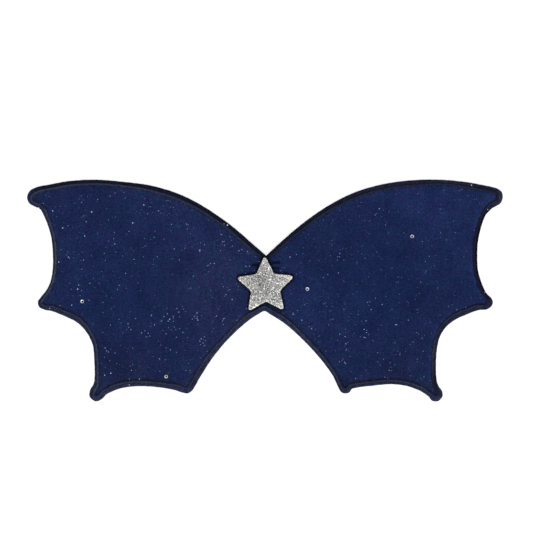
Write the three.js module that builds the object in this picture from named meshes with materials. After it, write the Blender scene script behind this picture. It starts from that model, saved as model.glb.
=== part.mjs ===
import * as THREE from 'three';
import { mergeVertices } from 'three/addons/utils/BufferGeometryUtils.js';

// A pair of child's dress-up bat wings, lying flat with the outer face up.
// Millimetres, +Z up, +X to the right and +Y towards the upper wing tips.
// The origin is under the middle of the part, on the surface that it lies on.

// Overall size of the wings
const HALF_SPAN = 280;
const HEIGHT = 260.6;

// The cloth: two layers of velvet with a thin wadding, pressed flat under the stitching
const CLOTH = 2.6;
const CLOTH_AT_CUT = 1.5;
const CLOTH_IN_MARGIN = 1.9;
const CLOTH_UNDER_STITCH = 1.2;
const STITCH_DIMPLE = 0.4;
const SEAM_GAP = 0.3;

// The satin stitching that follows the cut edge
const MARGIN = 5.3;
const CORD_WIDTH = 3.2;
const CORD_HEIGHT = 1;
const CORD_SHOULDER_UP_SHARE = 0.6;
const CORD_SHOULDER_OUT_SHARE = 0.92;

// How finely the outline and the cloth inside it are divided
const STATION_STEP = 11;
const LOFT_RUN = 6;
const CLOTH_RING_SHARES = [0.84, 0.67, 0.5, 0.33, 0.16];
const CENTRE_LINE_STEPS = 5;

// The padded star on the middle
const STAR_APEX_RADIUS = 40.4;
const STAR_WAIST_RADIUS = 19.6;
const STAR_TIP_RADIUS = 3.7;
const STAR_TIP_STEPS = 4;
const STAR_TURN = THREE.MathUtils.degToRad(1.4);
const STAR_THICK = 2.4;
const STAR_CROWN = 0.8;
const STAR_ARMS = 5;
const STAR_PLACE_SHARE = { out: 0.0042, up: 0.519 };

// The star's layers from its back upwards. inwards is the share of the way to the middle that
// the outline is drawn in, thick and crown are shares of STAR_THICK and STAR_CROWN.
const STAR_LAYERS = [
  { place: 'back', inwards: 0.02, thick: 0, crown: 0 },
  { place: 'lower edge', inwards: 0, thick: 0.3, crown: 0 },
  { place: 'upper edge', inwards: 0, thick: 0.7, crown: 0 },
  { place: 'rim', inwards: 0.045, thick: 1, crown: 0 },
  { place: 'shoulder', inwards: 0.4, thick: 1, crown: 0.8 },
];

// The cup sequins
const SEQUIN_RADIUS = 2.5;
const SEQUIN_HOLE = 0.6;
const SEQUIN_FLOOR = 1.3;
const SEQUIN_THICK = 0.35;
const SEQUIN_CUP = 0.45;
const SEQUIN_SIDES = 16;

// The elastic arm loops, folded flat under the wings. Their middle lies a little above the star's.
const STRAP_WIDTH = 10;
const STRAP_THICK = 1;
const STRAP_GAP = 0.35;
const STRAP_RAISED = 2.5;
const STRAP_REACH = 145;
const STRAP_INNER = 9;
const STRAP_SPREAD = 41;
const STRAP_OVERLAP_LENGTH = 34;
const STRAP_RAMP_LENGTH = 26;
const STRAP_FOLD_STEPS = 5;

// How the cloth lies over the straps, and how far it takes to come down beside them
const DRAPE_FLAT = 12;
const DRAPE_RUN = 46;

// The two notches of the outline, above and below the star.
// out is a share of HALF_SPAN from the middle, up a share of HEIGHT from the lowest tip,
// and hem is the distance from the cut edge to the stitching as a share of MARGIN.
const TOP_NOTCH = { out: 0.007, up: 0.6552, hem: 0.8 };
const BOTTOM_NOTCH = { out: 0, up: 0.408, hem: 0.78 };

// The cut edge of each wing, from the top notch round the wing to the bottom notch.
// The two wings are cut by hand and differ a little.
const LEFT_EDGE = [
  { place: 'top edge', out: 0.0427, up: 0.7016, hem: 1.05 },
  { place: 'top edge', out: 0.14, up: 0.7915, hem: 1.03 },
  { place: 'top edge', out: 0.263, up: 0.882, hem: 1.05 },
  { place: 'top edge', out: 0.364, up: 0.9358, hem: 1.1 },
  { place: 'top edge', out: 0.473, up: 0.971, hem: 1.09 },
  { place: 'top edge', out: 0.582, up: 0.9878, hem: 0.91 },
  { place: 'top edge', out: 0.713, up: 0.9986, hem: 0.9 },
  { place: 'top edge', out: 0.826, up: 0.992, hem: 0.93 },
  { place: 'top edge', out: 0.902, up: 0.977, hem: 0.95 },
  { place: 'upper tip', out: 0.961, up: 0.964, hem: 1.01 },
  { place: 'upper tip', out: 0.986, up: 0.948, hem: 1.03 },
  { place: 'upper tip', out: 0.997, up: 0.92, hem: 0.81 },
  { place: 'upper tip', out: 0.988, up: 0.894, hem: 0.79 },
  { place: 'under the upper tip', out: 0.97, up: 0.882, hem: 0.73 },
  { place: 'under the upper tip', out: 0.943, up: 0.868, hem: 0.7 },
  { place: 'side scallop', out: 0.923, up: 0.829, hem: 0.65 },
  { place: 'side scallop', out: 0.898, up: 0.752, hem: 0.58 },
  { place: 'side scallop', out: 0.8881, up: 0.655, hem: 0.6 },
  { place: 'side scallop', out: 0.893, up: 0.565, hem: 0.46 },
  { place: 'side scallop', out: 0.91, up: 0.51, hem: 0.46 },
  { place: 'middle tip', out: 0.937, up: 0.471, hem: 0.58 },
  { place: 'middle tip', out: 0.952, up: 0.447, hem: 0.7 },
  { place: 'middle tip', out: 0.946, up: 0.4255, hem: 0.78 },
  { place: 'middle tip', out: 0.923, up: 0.413, hem: 0.8 },
  { place: 'under the middle tip', out: 0.894, up: 0.407, hem: 0.98 },
  { place: 'lower scallop', out: 0.835, up: 0.382, hem: 0.95 },
  { place: 'lower scallop', out: 0.785, up: 0.354, hem: 0.94 },
  { place: 'lower scallop', out: 0.748, up: 0.312, hem: 0.78 },
  { place: 'lower scallop', out: 0.721, up: 0.253, hem: 0.68 },
  { place: 'lower scallop', out: 0.715, up: 0.194, hem: 0.62 },
  { place: 'lower scallop', out: 0.713, up: 0.113, hem: 0.65 },
  { place: 'lower tip', out: 0.717, up: 0.077, hem: 0.83 },
  { place: 'lower tip', out: 0.731, up: 0.052, hem: 0.92 },
  { place: 'lower tip', out: 0.734, up: 0.02, hem: 0.77 },
  { place: 'lower tip', out: 0.71, up: 0, hem: 0.92 },
  { place: 'lower tip', out: 0.6855, up: 0.009, hem: 0.95 },
  { place: 'lower tip', out: 0.6665, up: 0.029, hem: 1 },
  { place: 'hem', out: 0.624, up: 0.0515, hem: 1.02 },
  { place: 'hem', out: 0.574, up: 0.0645, hem: 1.03 },
  { place: 'hem', out: 0.511, up: 0.068, hem: 0.97 },
  { place: 'hem', out: 0.435, up: 0.0615, hem: 0.93 },
  { place: 'hem', out: 0.372, up: 0.049, hem: 1.08 },
  { place: 'inner tip', out: 0.345, up: 0.039, hem: 1.06 },
  { place: 'inner tip', out: 0.3215, up: 0.036, hem: 1 },
  { place: 'inner tip', out: 0.305, up: 0.048, hem: 1.05 },
  { place: 'inner edge', out: 0.275, up: 0.102, hem: 1.1 },
  { place: 'inner edge', out: 0.2201, up: 0.1939, hem: 1.05 },
  { place: 'inner edge', out: 0.1475, up: 0.2866, hem: 0.83 },
  { place: 'inner edge', out: 0.0555, up: 0.3745, hem: 1.03 },
];

const RIGHT_EDGE = [
  { place: 'top edge', out: 0.0579, up: 0.706, hem: 0.85 },
  { place: 'top edge', out: 0.146, up: 0.7885, hem: 0.95 },
  { place: 'top edge', out: 0.238, up: 0.8605, hem: 0.93 },
  { place: 'top edge', out: 0.3259, up: 0.9155, hem: 1.1 },
  { place: 'top edge', out: 0.411, up: 0.9535, hem: 1.1 },
  { place: 'top edge', out: 0.52, up: 0.983, hem: 1.1 },
  { place: 'top edge', out: 0.646, up: 0.9978, hem: 1.1 },
  { place: 'top edge', out: 0.747, up: 0.998, hem: 0.9 },
  { place: 'top edge', out: 0.848, up: 0.988, hem: 1.05 },
  { place: 'top edge', out: 0.924, up: 0.973, hem: 0.98 },
  { place: 'upper tip', out: 0.979, up: 0.958, hem: 1 },
  { place: 'upper tip', out: 0.9972, up: 0.9432, hem: 1.15 },
  { place: 'upper tip', out: 0.9997, up: 0.914, hem: 1.2 },
  { place: 'upper tip', out: 0.99, up: 0.8925, hem: 1 },
  { place: 'under the upper tip', out: 0.956, up: 0.8709, hem: 0.92 },
  { place: 'side scallop', out: 0.9303, up: 0.842, hem: 0.69 },
  { place: 'side scallop', out: 0.9104, up: 0.788, hem: 0.69 },
  { place: 'side scallop', out: 0.8966, up: 0.718, hem: 0.74 },
  { place: 'side scallop', out: 0.8936, up: 0.655, hem: 0.68 },
  { place: 'side scallop', out: 0.8978, up: 0.583, hem: 0.68 },
  { place: 'side scallop', out: 0.9178, up: 0.518, hem: 0.66 },
  { place: 'middle tip', out: 0.9332, up: 0.4849, hem: 0.62 },
  { place: 'middle tip', out: 0.953, up: 0.464, hem: 1 },
  { place: 'middle tip', out: 0.9592, up: 0.448, hem: 1.15 },
  { place: 'middle tip', out: 0.9531, up: 0.4287, hem: 1.1 },
  { place: 'middle tip', out: 0.935, up: 0.4155, hem: 0.88 },
  { place: 'under the middle tip', out: 0.901, up: 0.412, hem: 0.93 },
  { place: 'lower scallop', out: 0.848, up: 0.391, hem: 1 },
  { place: 'lower scallop', out: 0.7995, up: 0.3668, hem: 1 },
  { place: 'lower scallop', out: 0.759, up: 0.331, hem: 0.88 },
  { place: 'lower scallop', out: 0.7335, up: 0.2815, hem: 0.8 },
  { place: 'lower scallop', out: 0.723, up: 0.221, hem: 0.75 },
  { place: 'lower scallop', out: 0.72, up: 0.14, hem: 0.72 },
  { place: 'lower tip', out: 0.7245, up: 0.086, hem: 0.85 },
  { place: 'lower tip', out: 0.734, up: 0.061, hem: 0.9 },
  { place: 'lower tip', out: 0.7465, up: 0.043, hem: 0.98 },
  { place: 'lower tip', out: 0.747, up: 0.02, hem: 1 },
  { place: 'lower tip', out: 0.73, up: 0.001, hem: 1.12 },
  { place: 'lower tip', out: 0.708, up: 0.001, hem: 1.12 },
  { place: 'lower tip', out: 0.689, up: 0.0225, hem: 0.7 },
  { place: 'hem', out: 0.661, up: 0.0432, hem: 0.77 },
  { place: 'hem', out: 0.604, up: 0.067, hem: 0.76 },
  { place: 'hem', out: 0.537, up: 0.077, hem: 0.81 },
  { place: 'hem', out: 0.453, up: 0.07, hem: 0.82 },
  { place: 'inner tip', out: 0.3815, up: 0.06, hem: 0.86 },
  { place: 'inner tip', out: 0.365, up: 0.054, hem: 0.93 },
  { place: 'inner tip', out: 0.357, up: 0.0403, hem: 0.9 },
  { place: 'inner tip', out: 0.343, up: 0.0351, hem: 1 },
  { place: 'inner tip', out: 0.323, up: 0.0415, hem: 0.85 },
  { place: 'inner edge', out: 0.312, up: 0.061, hem: 0.65 },
  { place: 'inner edge', out: 0.289, up: 0.113, hem: 0.55 },
  { place: 'inner edge', out: 0.2339, up: 0.1941, hem: 0.64 },
  { place: 'inner edge', out: 0.1558, up: 0.2842, hem: 0.7 },
  { place: 'inner edge', out: 0.078, up: 0.357, hem: 0.91 },
];

// The middle of each wing, which the cloth is divided around
const LEFT_HUB_SHARE = { out: 0.271, up: 0.628 };
const RIGHT_HUB_SHARE = { out: 0.276, up: 0.628 };

const SEQUINS = [
  { name: 'sequin_left_outer', side: -1, out: 0.765, up: 0.45 },
  { name: 'sequin_left_lower', side: -1, out: 0.4125, up: 0.1114 },
  { name: 'sequin_right_inner', side: 1, out: 0.18, up: 0.506 },
  { name: 'sequin_right_outer', side: 1, out: 0.62, up: 0.743 },
];

const velvet = new THREE.MeshStandardMaterial({ color: 0x1b264c, roughness: 0.95 });
const satinThread = new THREE.MeshStandardMaterial({ color: 0x31333c, roughness: 0.6 });
const glitter = new THREE.MeshStandardMaterial({ color: 0xa1a0a0, roughness: 0.45, metalness: 0.7 });
const foil = new THREE.MeshStandardMaterial({ color: 0xd9dce2, roughness: 0.25, metalness: 0.9 });
const elastic = new THREE.MeshStandardMaterial({ color: 0x17171b, roughness: 0.85 });

// The place in plan of a row of a table; side is -1 for the left wing and 1 for the right.
function placeOf(row, side) {
  return new THREE.Vector2(side * row.out * HALF_SPAN, row.up * HEIGHT);
}

function smoothStep(value) {
  return THREE.MathUtils.smoothstep(value, 0, 1);
}

// A turn of 90 degrees clockwise, from the direction of travel to the outside of the wings.
function outside(tangent) {
  return new THREE.Vector2(tangent.y, -tangent.x);
}

function smoothCurve(places) {
  const points = places.map((place) => new THREE.Vector3(place.x, place.y, 0));
  return new THREE.CatmullRomCurve3(points, false, 'centripetal');
}

// The closed outline as two curves: down round the left wing, and up round the right one.
function halvesThrough(knots, leftCount) {
  const left = knots.slice(0, leftCount + 2);
  const right = [...knots.slice(leftCount + 1), knots[0]];
  return [smoothCurve(left), smoothCurve(right)];
}

// Stations round the closed outline, each with its place, the outward normal and the mitre that
// a width needs there. counts holds the stations between each two knots, for each half.
function stationsAlong(halves, counts) {
  const stations = [];
  halves.forEach((curve, half) => {
    const spans = counts[half].length;
    counts[half].forEach((count, span) => {
      for (let step = 0; step < count; step += 1) {
        const share = (span + step / count) / spans;
        const place = curve.getPoint(share);
        const ahead = curve.getTangent(share);
        const behind = stations.length && share > 0 ? ahead : halves[1 - half].getTangent(1);
        const tangent = ahead.clone().add(behind).normalize();
        stations.push({
          place: new THREE.Vector2(place.x, place.y),
          normal: outside(tangent),
          mitre: 1 / tangent.dot(ahead),
        });
      }
    });
  });
  return stations;
}

// A station's place moved outwards by a distance, or inwards where it is negative.
function shifted(station, distance) {
  return station.place.clone().addScaledVector(station.normal, distance * station.mitre);
}

// The cut edge and the middle of the stitching, station by station.
function wingLines() {
  const rows = [TOP_NOTCH, ...LEFT_EDGE, BOTTOM_NOTCH, ...[...RIGHT_EDGE].reverse()];
  const leftCount = LEFT_EDGE.length;
  const knots = rows.map((row, index) => {
    const onLeft = index > 0 && index <= leftCount;
    return placeOf(row, onLeft ? -1 : 1);
  });
  const edgeHalves = halvesThrough(knots, leftCount);
  const single = [leftCount + 1, RIGHT_EDGE.length + 1].map((spans) => Array(spans).fill(1));
  const stitchKnots = stationsAlong(edgeHalves, single).map((station, index) => {
    return shifted(station, -rows[index].hem * MARGIN);
  });
  const stitchHalves = halvesThrough(stitchKnots, leftCount);
  const counts = single.map((spans, half) => spans.map((_, span) => {
    const first = half === 0 ? span : leftCount + 1 + span;
    const second = (first + 1) % knots.length;
    return Math.ceil(knots[first].distanceTo(knots[second]) / STATION_STEP);
  }));
  const leftStations = counts[0].reduce((sum, count) => sum + count, 0);
  return {
    edge: stationsAlong(edgeHalves, counts),
    stitch: stationsAlong(stitchHalves, counts),
    bottomNotch: leftStations,
  };
}

const lines = wingLines();
const starPlace = placeOf(STAR_PLACE_SHARE, 1);
const strapPlace = new THREE.Vector2(starPlace.x, starPlace.y + STRAP_RAISED);

// The height that the straps give the cloth: one layer of elastic, and two beside the fold.
const OVER_ONE_LAYER = STRAP_THICK + STRAP_GAP;
const OVER_TWO_LAYERS = OVER_ONE_LAYER + STRAP_THICK + STRAP_GAP;

// Half of the spread of a strap's two runs, at a distance from the middle of the part.
function strapHalfSpread(across) {
  return (STRAP_SPREAD / 2) * (STRAP_REACH - across) / (STRAP_REACH - STRAP_INNER);
}

// How high the underside of the cloth lies above the surface.
function lieOfCloth(place) {
  const across = Math.abs(place.x - strapPlace.x);
  const inside = Math.min(across, STRAP_REACH);
  const above = Math.abs(place.y - strapPlace.y) - strapHalfSpread(inside) - STRAP_WIDTH / 2;
  const beyond = Math.max(0, across - STRAP_REACH);
  const away = Math.hypot(Math.max(0, above), beyond);
  const fall = 1 - smoothStep((away - DRAPE_FLAT) / DRAPE_RUN);
  const foldStart = STRAP_REACH - STRAP_OVERLAP_LENGTH - STRAP_RAMP_LENGTH;
  const rise = smoothStep((across - foldStart + DRAPE_FLAT) / STRAP_RAMP_LENGTH);
  return fall * THREE.MathUtils.lerp(OVER_ONE_LAYER, OVER_TWO_LAYERS, rise);
}

// The heights of the cloth's two faces above its lie: at the cut edge, in the margin,
// under the stitching and where it is at its full thickness.
const FACES = {
  cut: { under: 0, over: CLOTH_AT_CUT },
  margin: { under: 0, over: CLOTH_IN_MARGIN },
  stitch: { under: STITCH_DIMPLE, over: STITCH_DIMPLE + CLOTH_UNDER_STITCH },
  full: { under: 0, over: CLOTH },
};

// One point of the cloth in plan, with its two faces.
function clothPoint(place, faces) {
  const lie = lieOfCloth(place);
  return {
    place,
    under: new THREE.Vector3(place.x, place.y, lie + faces.under),
    over: new THREE.Vector3(place.x, place.y, lie + faces.over),
  };
}

function pushTriangle(points, a, b, c) {
  points.push(a.x, a.y, a.z, b.x, b.y, b.z, c.x, c.y, c.z);
}

function pushQuad(points, a, b, c, d) {
  pushTriangle(points, a, b, c);
  pushTriangle(points, a, c, d);
}

// The two faces of the cloth between an outer ring and an inner one, both anticlockwise.
function pushRingFaces(points, outer, inner) {
  outer.forEach((_, index) => {
    const next = (index + 1) % outer.length;
    pushQuad(points, outer[index].over, outer[next].over, inner[next].over, inner[index].over);
    pushQuad(points, outer[index].under, inner[index].under, inner[next].under, outer[next].under);
  });
}

function pushHubFaces(points, ring, hub) {
  ring.forEach((point, index) => {
    const next = ring[(index + 1) % ring.length];
    pushTriangle(points, point.over, next.over, hub.over);
    pushTriangle(points, point.under, hub.under, next.under);
  });
}

function geometryOf(points) {
  const geometry = new THREE.BufferGeometry();
  geometry.setAttribute('position', new THREE.Float32BufferAttribute(points, 3));
  const merged = mergeVertices(geometry);
  merged.computeVertexNormals();
  return merged;
}

function solid(name, geometry, material) {
  const mesh = new THREE.Mesh(geometry, material);
  mesh.name = name;
  return mesh;
}

// The cloth of one wing inside the stitching, in rings that close in on its hub.
function pushWingInside(points, rim, hubRow, side) {
  const hub = placeOf(hubRow, side);
  const loft = rim.map(({ place }) => {
    return clothPoint(place.clone().lerp(hub, LOFT_RUN / place.distanceTo(hub)), FACES.full);
  });
  const rings = CLOTH_RING_SHARES.map((share) => loft.map(({ place }) => {
    return clothPoint(hub.clone().lerp(place, share), FACES.full);
  }));
  let outer = rim;
  [loft, ...rings].forEach((ring) => {
    pushRingFaces(points, outer, ring);
    outer = ring;
  });
  pushHubFaces(points, outer, clothPoint(hub, FACES.full));
}

function wingPanel() {
  const points = [];
  const half = CORD_WIDTH / 2 + SEAM_GAP;
  const cut = lines.edge.map((station) => clothPoint(station.place, FACES.cut));
  const stitchOuter = lines.stitch.map((station) => clothPoint(shifted(station, half), FACES.stitch));
  const margin = stitchOuter.map(({ place }, index) => {
    const middle = place.clone().add(cut[index].place).divideScalar(2);
    return clothPoint(middle, FACES.margin);
  });
  const stitchInner = lines.stitch.map((station) => clothPoint(shifted(station, -half), FACES.stitch));
  cut.forEach((point, index) => {
    const next = cut[(index + 1) % cut.length];
    pushQuad(points, point.under, next.under, next.over, point.over);
  });
  pushRingFaces(points, cut, margin);
  pushRingFaces(points, margin, stitchOuter);
  pushRingFaces(points, stitchOuter, stitchInner);

  const top = stitchInner[0];
  const bottom = stitchInner[lines.bottomNotch];
  const centreLine = [];
  for (let step = 1; step < CENTRE_LINE_STEPS; step += 1) {
    const place = bottom.place.clone().lerp(top.place, step / CENTRE_LINE_STEPS);
    centreLine.push(clothPoint(place, FACES.full));
  }
  const leftRim = [...stitchInner.slice(0, lines.bottomNotch + 1), ...centreLine];
  const rightRim = [...stitchInner.slice(lines.bottomNotch), top, ...[...centreLine].reverse()];
  pushWingInside(points, leftRim, LEFT_HUB_SHARE, -1);
  pushWingInside(points, rightRim, RIGHT_HUB_SHARE, 1);
  return solid('wing_panel', geometryOf(points), velvet);
}

// The raised band of satin stitching: a closed ring with a rounded top, in the dimple of the cloth.
function edgeCording() {
  const points = [];
  const half = CORD_WIDTH / 2;
  const section = [
    { across: half, up: 0 },
    { across: half * CORD_SHOULDER_OUT_SHARE, up: CORD_HEIGHT * CORD_SHOULDER_UP_SHARE },
    { across: 0, up: CORD_HEIGHT },
    { across: -half * CORD_SHOULDER_OUT_SHARE, up: CORD_HEIGHT * CORD_SHOULDER_UP_SHARE },
    { across: -half, up: 0 },
  ];
  const seat = FACES.stitch.over + SEAM_GAP;
  const loops = lines.stitch.map((station) => section.map((corner) => {
    const place = shifted(station, corner.across);
    return new THREE.Vector3(place.x, place.y, lieOfCloth(place) + seat + corner.up);
  }));
  loops.forEach((loop, index) => {
    const next = loops[(index + 1) % loops.length];
    section.forEach((_, corner) => {
      const other = (corner + 1) % section.length;
      pushQuad(points, loop[corner], next[corner], next[other], loop[other]);
    });
  });
  return solid('edge_cording', geometryOf(points), satinThread);
}

// The outline of the star in plan, from the tip of one arm round to the next, with round tips.
function starOutline() {
  const sector = (2 * Math.PI) / STAR_ARMS;
  const corners = [];
  for (let arm = 0; arm < STAR_ARMS; arm += 1) {
    const towards = Math.PI / 2 + STAR_TURN + arm * sector;
    corners.push({ reach: STAR_APEX_RADIUS, towards, round: true });
    corners.push({ reach: STAR_WAIST_RADIUS, towards: towards + sector / 2, round: false });
  }
  const at = (corner) => new THREE.Vector2(
    starPlace.x + corner.reach * Math.cos(corner.towards),
    starPlace.y + corner.reach * Math.sin(corner.towards),
  );
  const outline = [];
  corners.forEach((corner, index) => {
    const place = at(corner);
    if (!corner.round) {
      outline.push(place);
      return;
    }
    const before = at(corners.at(index - 1)).sub(place).normalize();
    const after = at(corners[index + 1]).sub(place).normalize();
    const halfAngle = Math.acos(before.dot(after)) / 2;
    const centre = place.clone().addScaledVector(
      before.clone().add(after).normalize(),
      STAR_TIP_RADIUS / Math.sin(halfAngle),
    );
    const sweep = Math.PI - 2 * halfAngle;
    for (let step = 0; step <= STAR_TIP_STEPS; step += 1) {
      const angle = corner.towards + sweep * (step / STAR_TIP_STEPS - 1 / 2);
      outline.push(new THREE.Vector2(
        centre.x + STAR_TIP_RADIUS * Math.cos(angle),
        centre.y + STAR_TIP_RADIUS * Math.sin(angle),
      ));
    }
  });
  return outline;
}

// The padded star: a flat back on the stitching, a rounded rim and a low crown.
function star() {
  const points = [];
  const outline = starOutline();
  const seat = OVER_ONE_LAYER + FACES.stitch.over + SEAM_GAP + CORD_HEIGHT + SEAM_GAP;
  const rings = STAR_LAYERS.map((layer) => outline.map((place) => {
    const moved = place.clone().lerp(starPlace, layer.inwards);
    const up = layer.thick * STAR_THICK + layer.crown * STAR_CROWN;
    return new THREE.Vector3(moved.x, moved.y, seat + up);
  }));
  const base = new THREE.Vector3(starPlace.x, starPlace.y, seat);
  const crown = new THREE.Vector3(starPlace.x, starPlace.y, seat + STAR_THICK + STAR_CROWN);
  outline.forEach((_, index) => {
    const next = (index + 1) % outline.length;
    pushTriangle(points, rings[0][next], rings[0][index], base);
    for (let layer = 1; layer < rings.length; layer += 1) {
      const lower = rings[layer - 1];
      const upper = rings[layer];
      pushQuad(points, lower[index], lower[next], upper[next], upper[index]);
    }
    pushTriangle(points, rings.at(-1)[index], rings.at(-1)[next], crown);
  });
  return solid('star', geometryOf(points), glitter);
}

// The middle line of a folded strap, seen from the edge: out along the surface, round the fold,
// back on top of itself and down to the surface again. along is the distance from the middle.
function strapProfile() {
  const turn = (STRAP_THICK + STRAP_GAP) / 2;
  const low = STRAP_THICK / 2;
  const high = low + 2 * turn;
  const foldCentre = STRAP_REACH - turn - STRAP_THICK / 2;
  const stepEnd = STRAP_REACH - STRAP_OVERLAP_LENGTH;
  const stepStart = stepEnd - STRAP_RAMP_LENGTH;
  const profile = [
    { along: STRAP_INNER, up: low, lean: 0 },
    { along: stepStart, up: low, lean: 0 },
    { along: foldCentre, up: low, lean: 0 },
  ];
  for (let step = 1; step < STRAP_FOLD_STEPS; step += 1) {
    const angle = -Math.PI / 2 + (Math.PI * step) / STRAP_FOLD_STEPS;
    profile.push({
      along: foldCentre + turn * Math.cos(angle),
      up: low + turn + turn * Math.sin(angle),
      lean: angle + Math.PI / 2,
    });
  }
  profile.push({ along: foldCentre, up: high, lean: Math.PI });
  profile.push({ along: stepEnd, up: high, lean: Math.PI });
  profile.push({ along: stepStart, up: low, lean: Math.PI });
  profile.push({ along: STRAP_INNER, up: low, lean: Math.PI });
  return profile;
}

// One arm loop: an elastic tape folded back on itself, with its two runs spread apart.
function strap(name, side) {
  const points = [];
  const loops = strapProfile().map((place, index, profile) => {
    const upperRun = index < profile.length / 2 ? 1 : -1;
    const spread = upperRun * strapHalfSpread(Math.min(place.along, STRAP_REACH));
    const inwards = new THREE.Vector2(-Math.sin(place.lean), Math.cos(place.lean));
    const corner = (across, thick) => new THREE.Vector3(
      strapPlace.x + side * (place.along + inwards.x * thick * STRAP_THICK / 2),
      strapPlace.y + spread + across * STRAP_WIDTH / 2,
      place.up + inwards.y * thick * STRAP_THICK / 2,
    );
    return [corner(-1, -1), corner(1, -1), corner(1, 1), corner(-1, 1)];
  });
  const quad = (a, b, c, d) => (side > 0 ? pushQuad(points, a, b, c, d) : pushQuad(points, d, c, b, a));
  const first = loops[0];
  const last = loops.at(-1);
  quad(first[0], first[3], first[2], first[1]);
  quad(last[0], last[1], last[2], last[3]);
  for (let index = 1; index < loops.length; index += 1) {
    const here = loops[index - 1];
    const next = loops[index];
    here.forEach((_, corner) => {
      const other = (corner + 1) % here.length;
      quad(here[corner], here[other], next[other], next[corner]);
    });
  }
  return solid(name, geometryOf(points), elastic);
}

// A cup sequin: a thin dished disc with a hole, open side up.
function sequin(row, cloth) {
  const rise = SEQUIN_CUP + SEQUIN_THICK;
  const profile = [
    [SEQUIN_HOLE, 0],
    [SEQUIN_FLOOR, 0],
    [SEQUIN_RADIUS, SEQUIN_CUP],
    [SEQUIN_RADIUS, rise],
    [SEQUIN_FLOOR, SEQUIN_THICK],
    [SEQUIN_HOLE, SEQUIN_THICK],
    [SEQUIN_HOLE, 0],
  ].map(([radius, up]) => new THREE.Vector2(radius, up));
  const geometry = new THREE.LatheGeometry(profile, SEQUIN_SIDES);
  geometry.rotateX(Math.PI / 2);
  const mesh = solid(row.name, geometry, foil);
  const place = placeOf(row, row.side);
  const aboveCloth = 2 * new THREE.Box3().setFromObject(cloth).max.z;
  const ray = new THREE.Raycaster(
    new THREE.Vector3(place.x, place.y, aboveCloth),
    new THREE.Vector3(0, 0, -1),
  );
  const [seat] = ray.intersectObject(cloth);
  mesh.position.copy(seat.point).addScaledVector(seat.face.normal, SEAM_GAP);
  mesh.quaternion.setFromUnitVectors(new THREE.Vector3(0, 0, 1), seat.face.normal);
  return mesh;
}

const wings = new THREE.Group();
const panel = wingPanel();
wings.add(panel);
wings.add(edgeCording());
wings.add(star());
wings.add(strap('strap_left', -1));
wings.add(strap('strap_right', 1));
SEQUINS.forEach((row) => wings.add(sequin(row, panel)));

// The middle of the outline's box goes to the origin.
const box = new THREE.Box3().setFromObject(panel);
const middle = box.getCenter(new THREE.Vector3());
wings.position.set(-middle.x, -middle.y, 0);

export default wings;
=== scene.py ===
import math

import bmesh
import bpy
import numpy as np
from mathutils import Matrix, Vector
from mathutils.bvhtree import BVHTree
from mathutils.geometry import delaunay_2d_cdt
from mathutils.kdtree import KDTree


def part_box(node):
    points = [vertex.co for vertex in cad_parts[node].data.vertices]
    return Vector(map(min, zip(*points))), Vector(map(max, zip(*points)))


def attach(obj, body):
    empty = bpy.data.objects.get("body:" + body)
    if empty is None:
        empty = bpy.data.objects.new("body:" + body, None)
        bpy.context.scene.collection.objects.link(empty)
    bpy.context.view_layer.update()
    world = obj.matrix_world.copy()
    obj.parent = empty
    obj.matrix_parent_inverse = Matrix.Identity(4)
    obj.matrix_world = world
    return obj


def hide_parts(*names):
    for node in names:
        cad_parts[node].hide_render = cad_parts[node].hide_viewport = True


# A pair of child's dress-up bat wings in navy velvet, lying flat with the outer face up.
# Metres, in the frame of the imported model: +X right, +Y towards the upper tips, +Z up.
MM = 0.001


def table(columns, *rows):
    """Rows with named columns, without the values that are None."""
    names = columns.split()
    return [{name: value for name, value in zip(names, row) if value is not None} for row in rows]


# What the photograph shows: its size in pixels, the width of the surface that it takes in, and the
# pixel where the origin of the part lies. In the tables below, x and y are pixels too, and reach is
# in millimetres.
PHOTO_PIXELS = 533
PHOTO_WIDTH = 628 * MM
PHOTO_ORIGIN = (264.8, 290.4)
PIXEL = PHOTO_WIDTH / PHOTO_PIXELS
LENS = 85
SENSOR = 36

# The cloth above its lie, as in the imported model
CLOTH_FULL = 2.6 * MM
CLOTH_UNDER_STITCH = 1.6 * MM
CLOTH_IN_MARGIN = 1.9 * MM
CLOTH_AT_CUT = 1.5 * MM
STITCH_DIMPLE = 0.4 * MM
LOFT_RUN = 2.1 * MM
# Its unevenness, in millimetres, and its puckers beside the stitching, which drift along it
RELIEF = table("length height seed", (70, 0.16, 3), (24, 0.07, 5), (7, 0.03, 7))
PUCKER_PITCH = 7.5 * MM
PUCKER_HEIGHT = 0.16 * MM
PUCKER_START = 2 * MM
PUCKER_RUN = 5 * MM
PUCKER_DRIFT = {"wavelength": 60 * MM, "height": 2.5, "seed": 11}
LATTICE = 2 * MM
LATTICE_CLEAR = 0.8
FILL_TOLERANCE = 1e-5
LOOP_STEP = 1.75 * MM
SHARP_TURN = math.radians(60)
WELD = 0.001 * MM
# How far up or down the normal of a solid's side may lean
ASIDE_LEAN = 0.35
RIPPLE_WAVES = 7
RIPPLE_LENGTHS = (0.7, 1.5)

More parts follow.
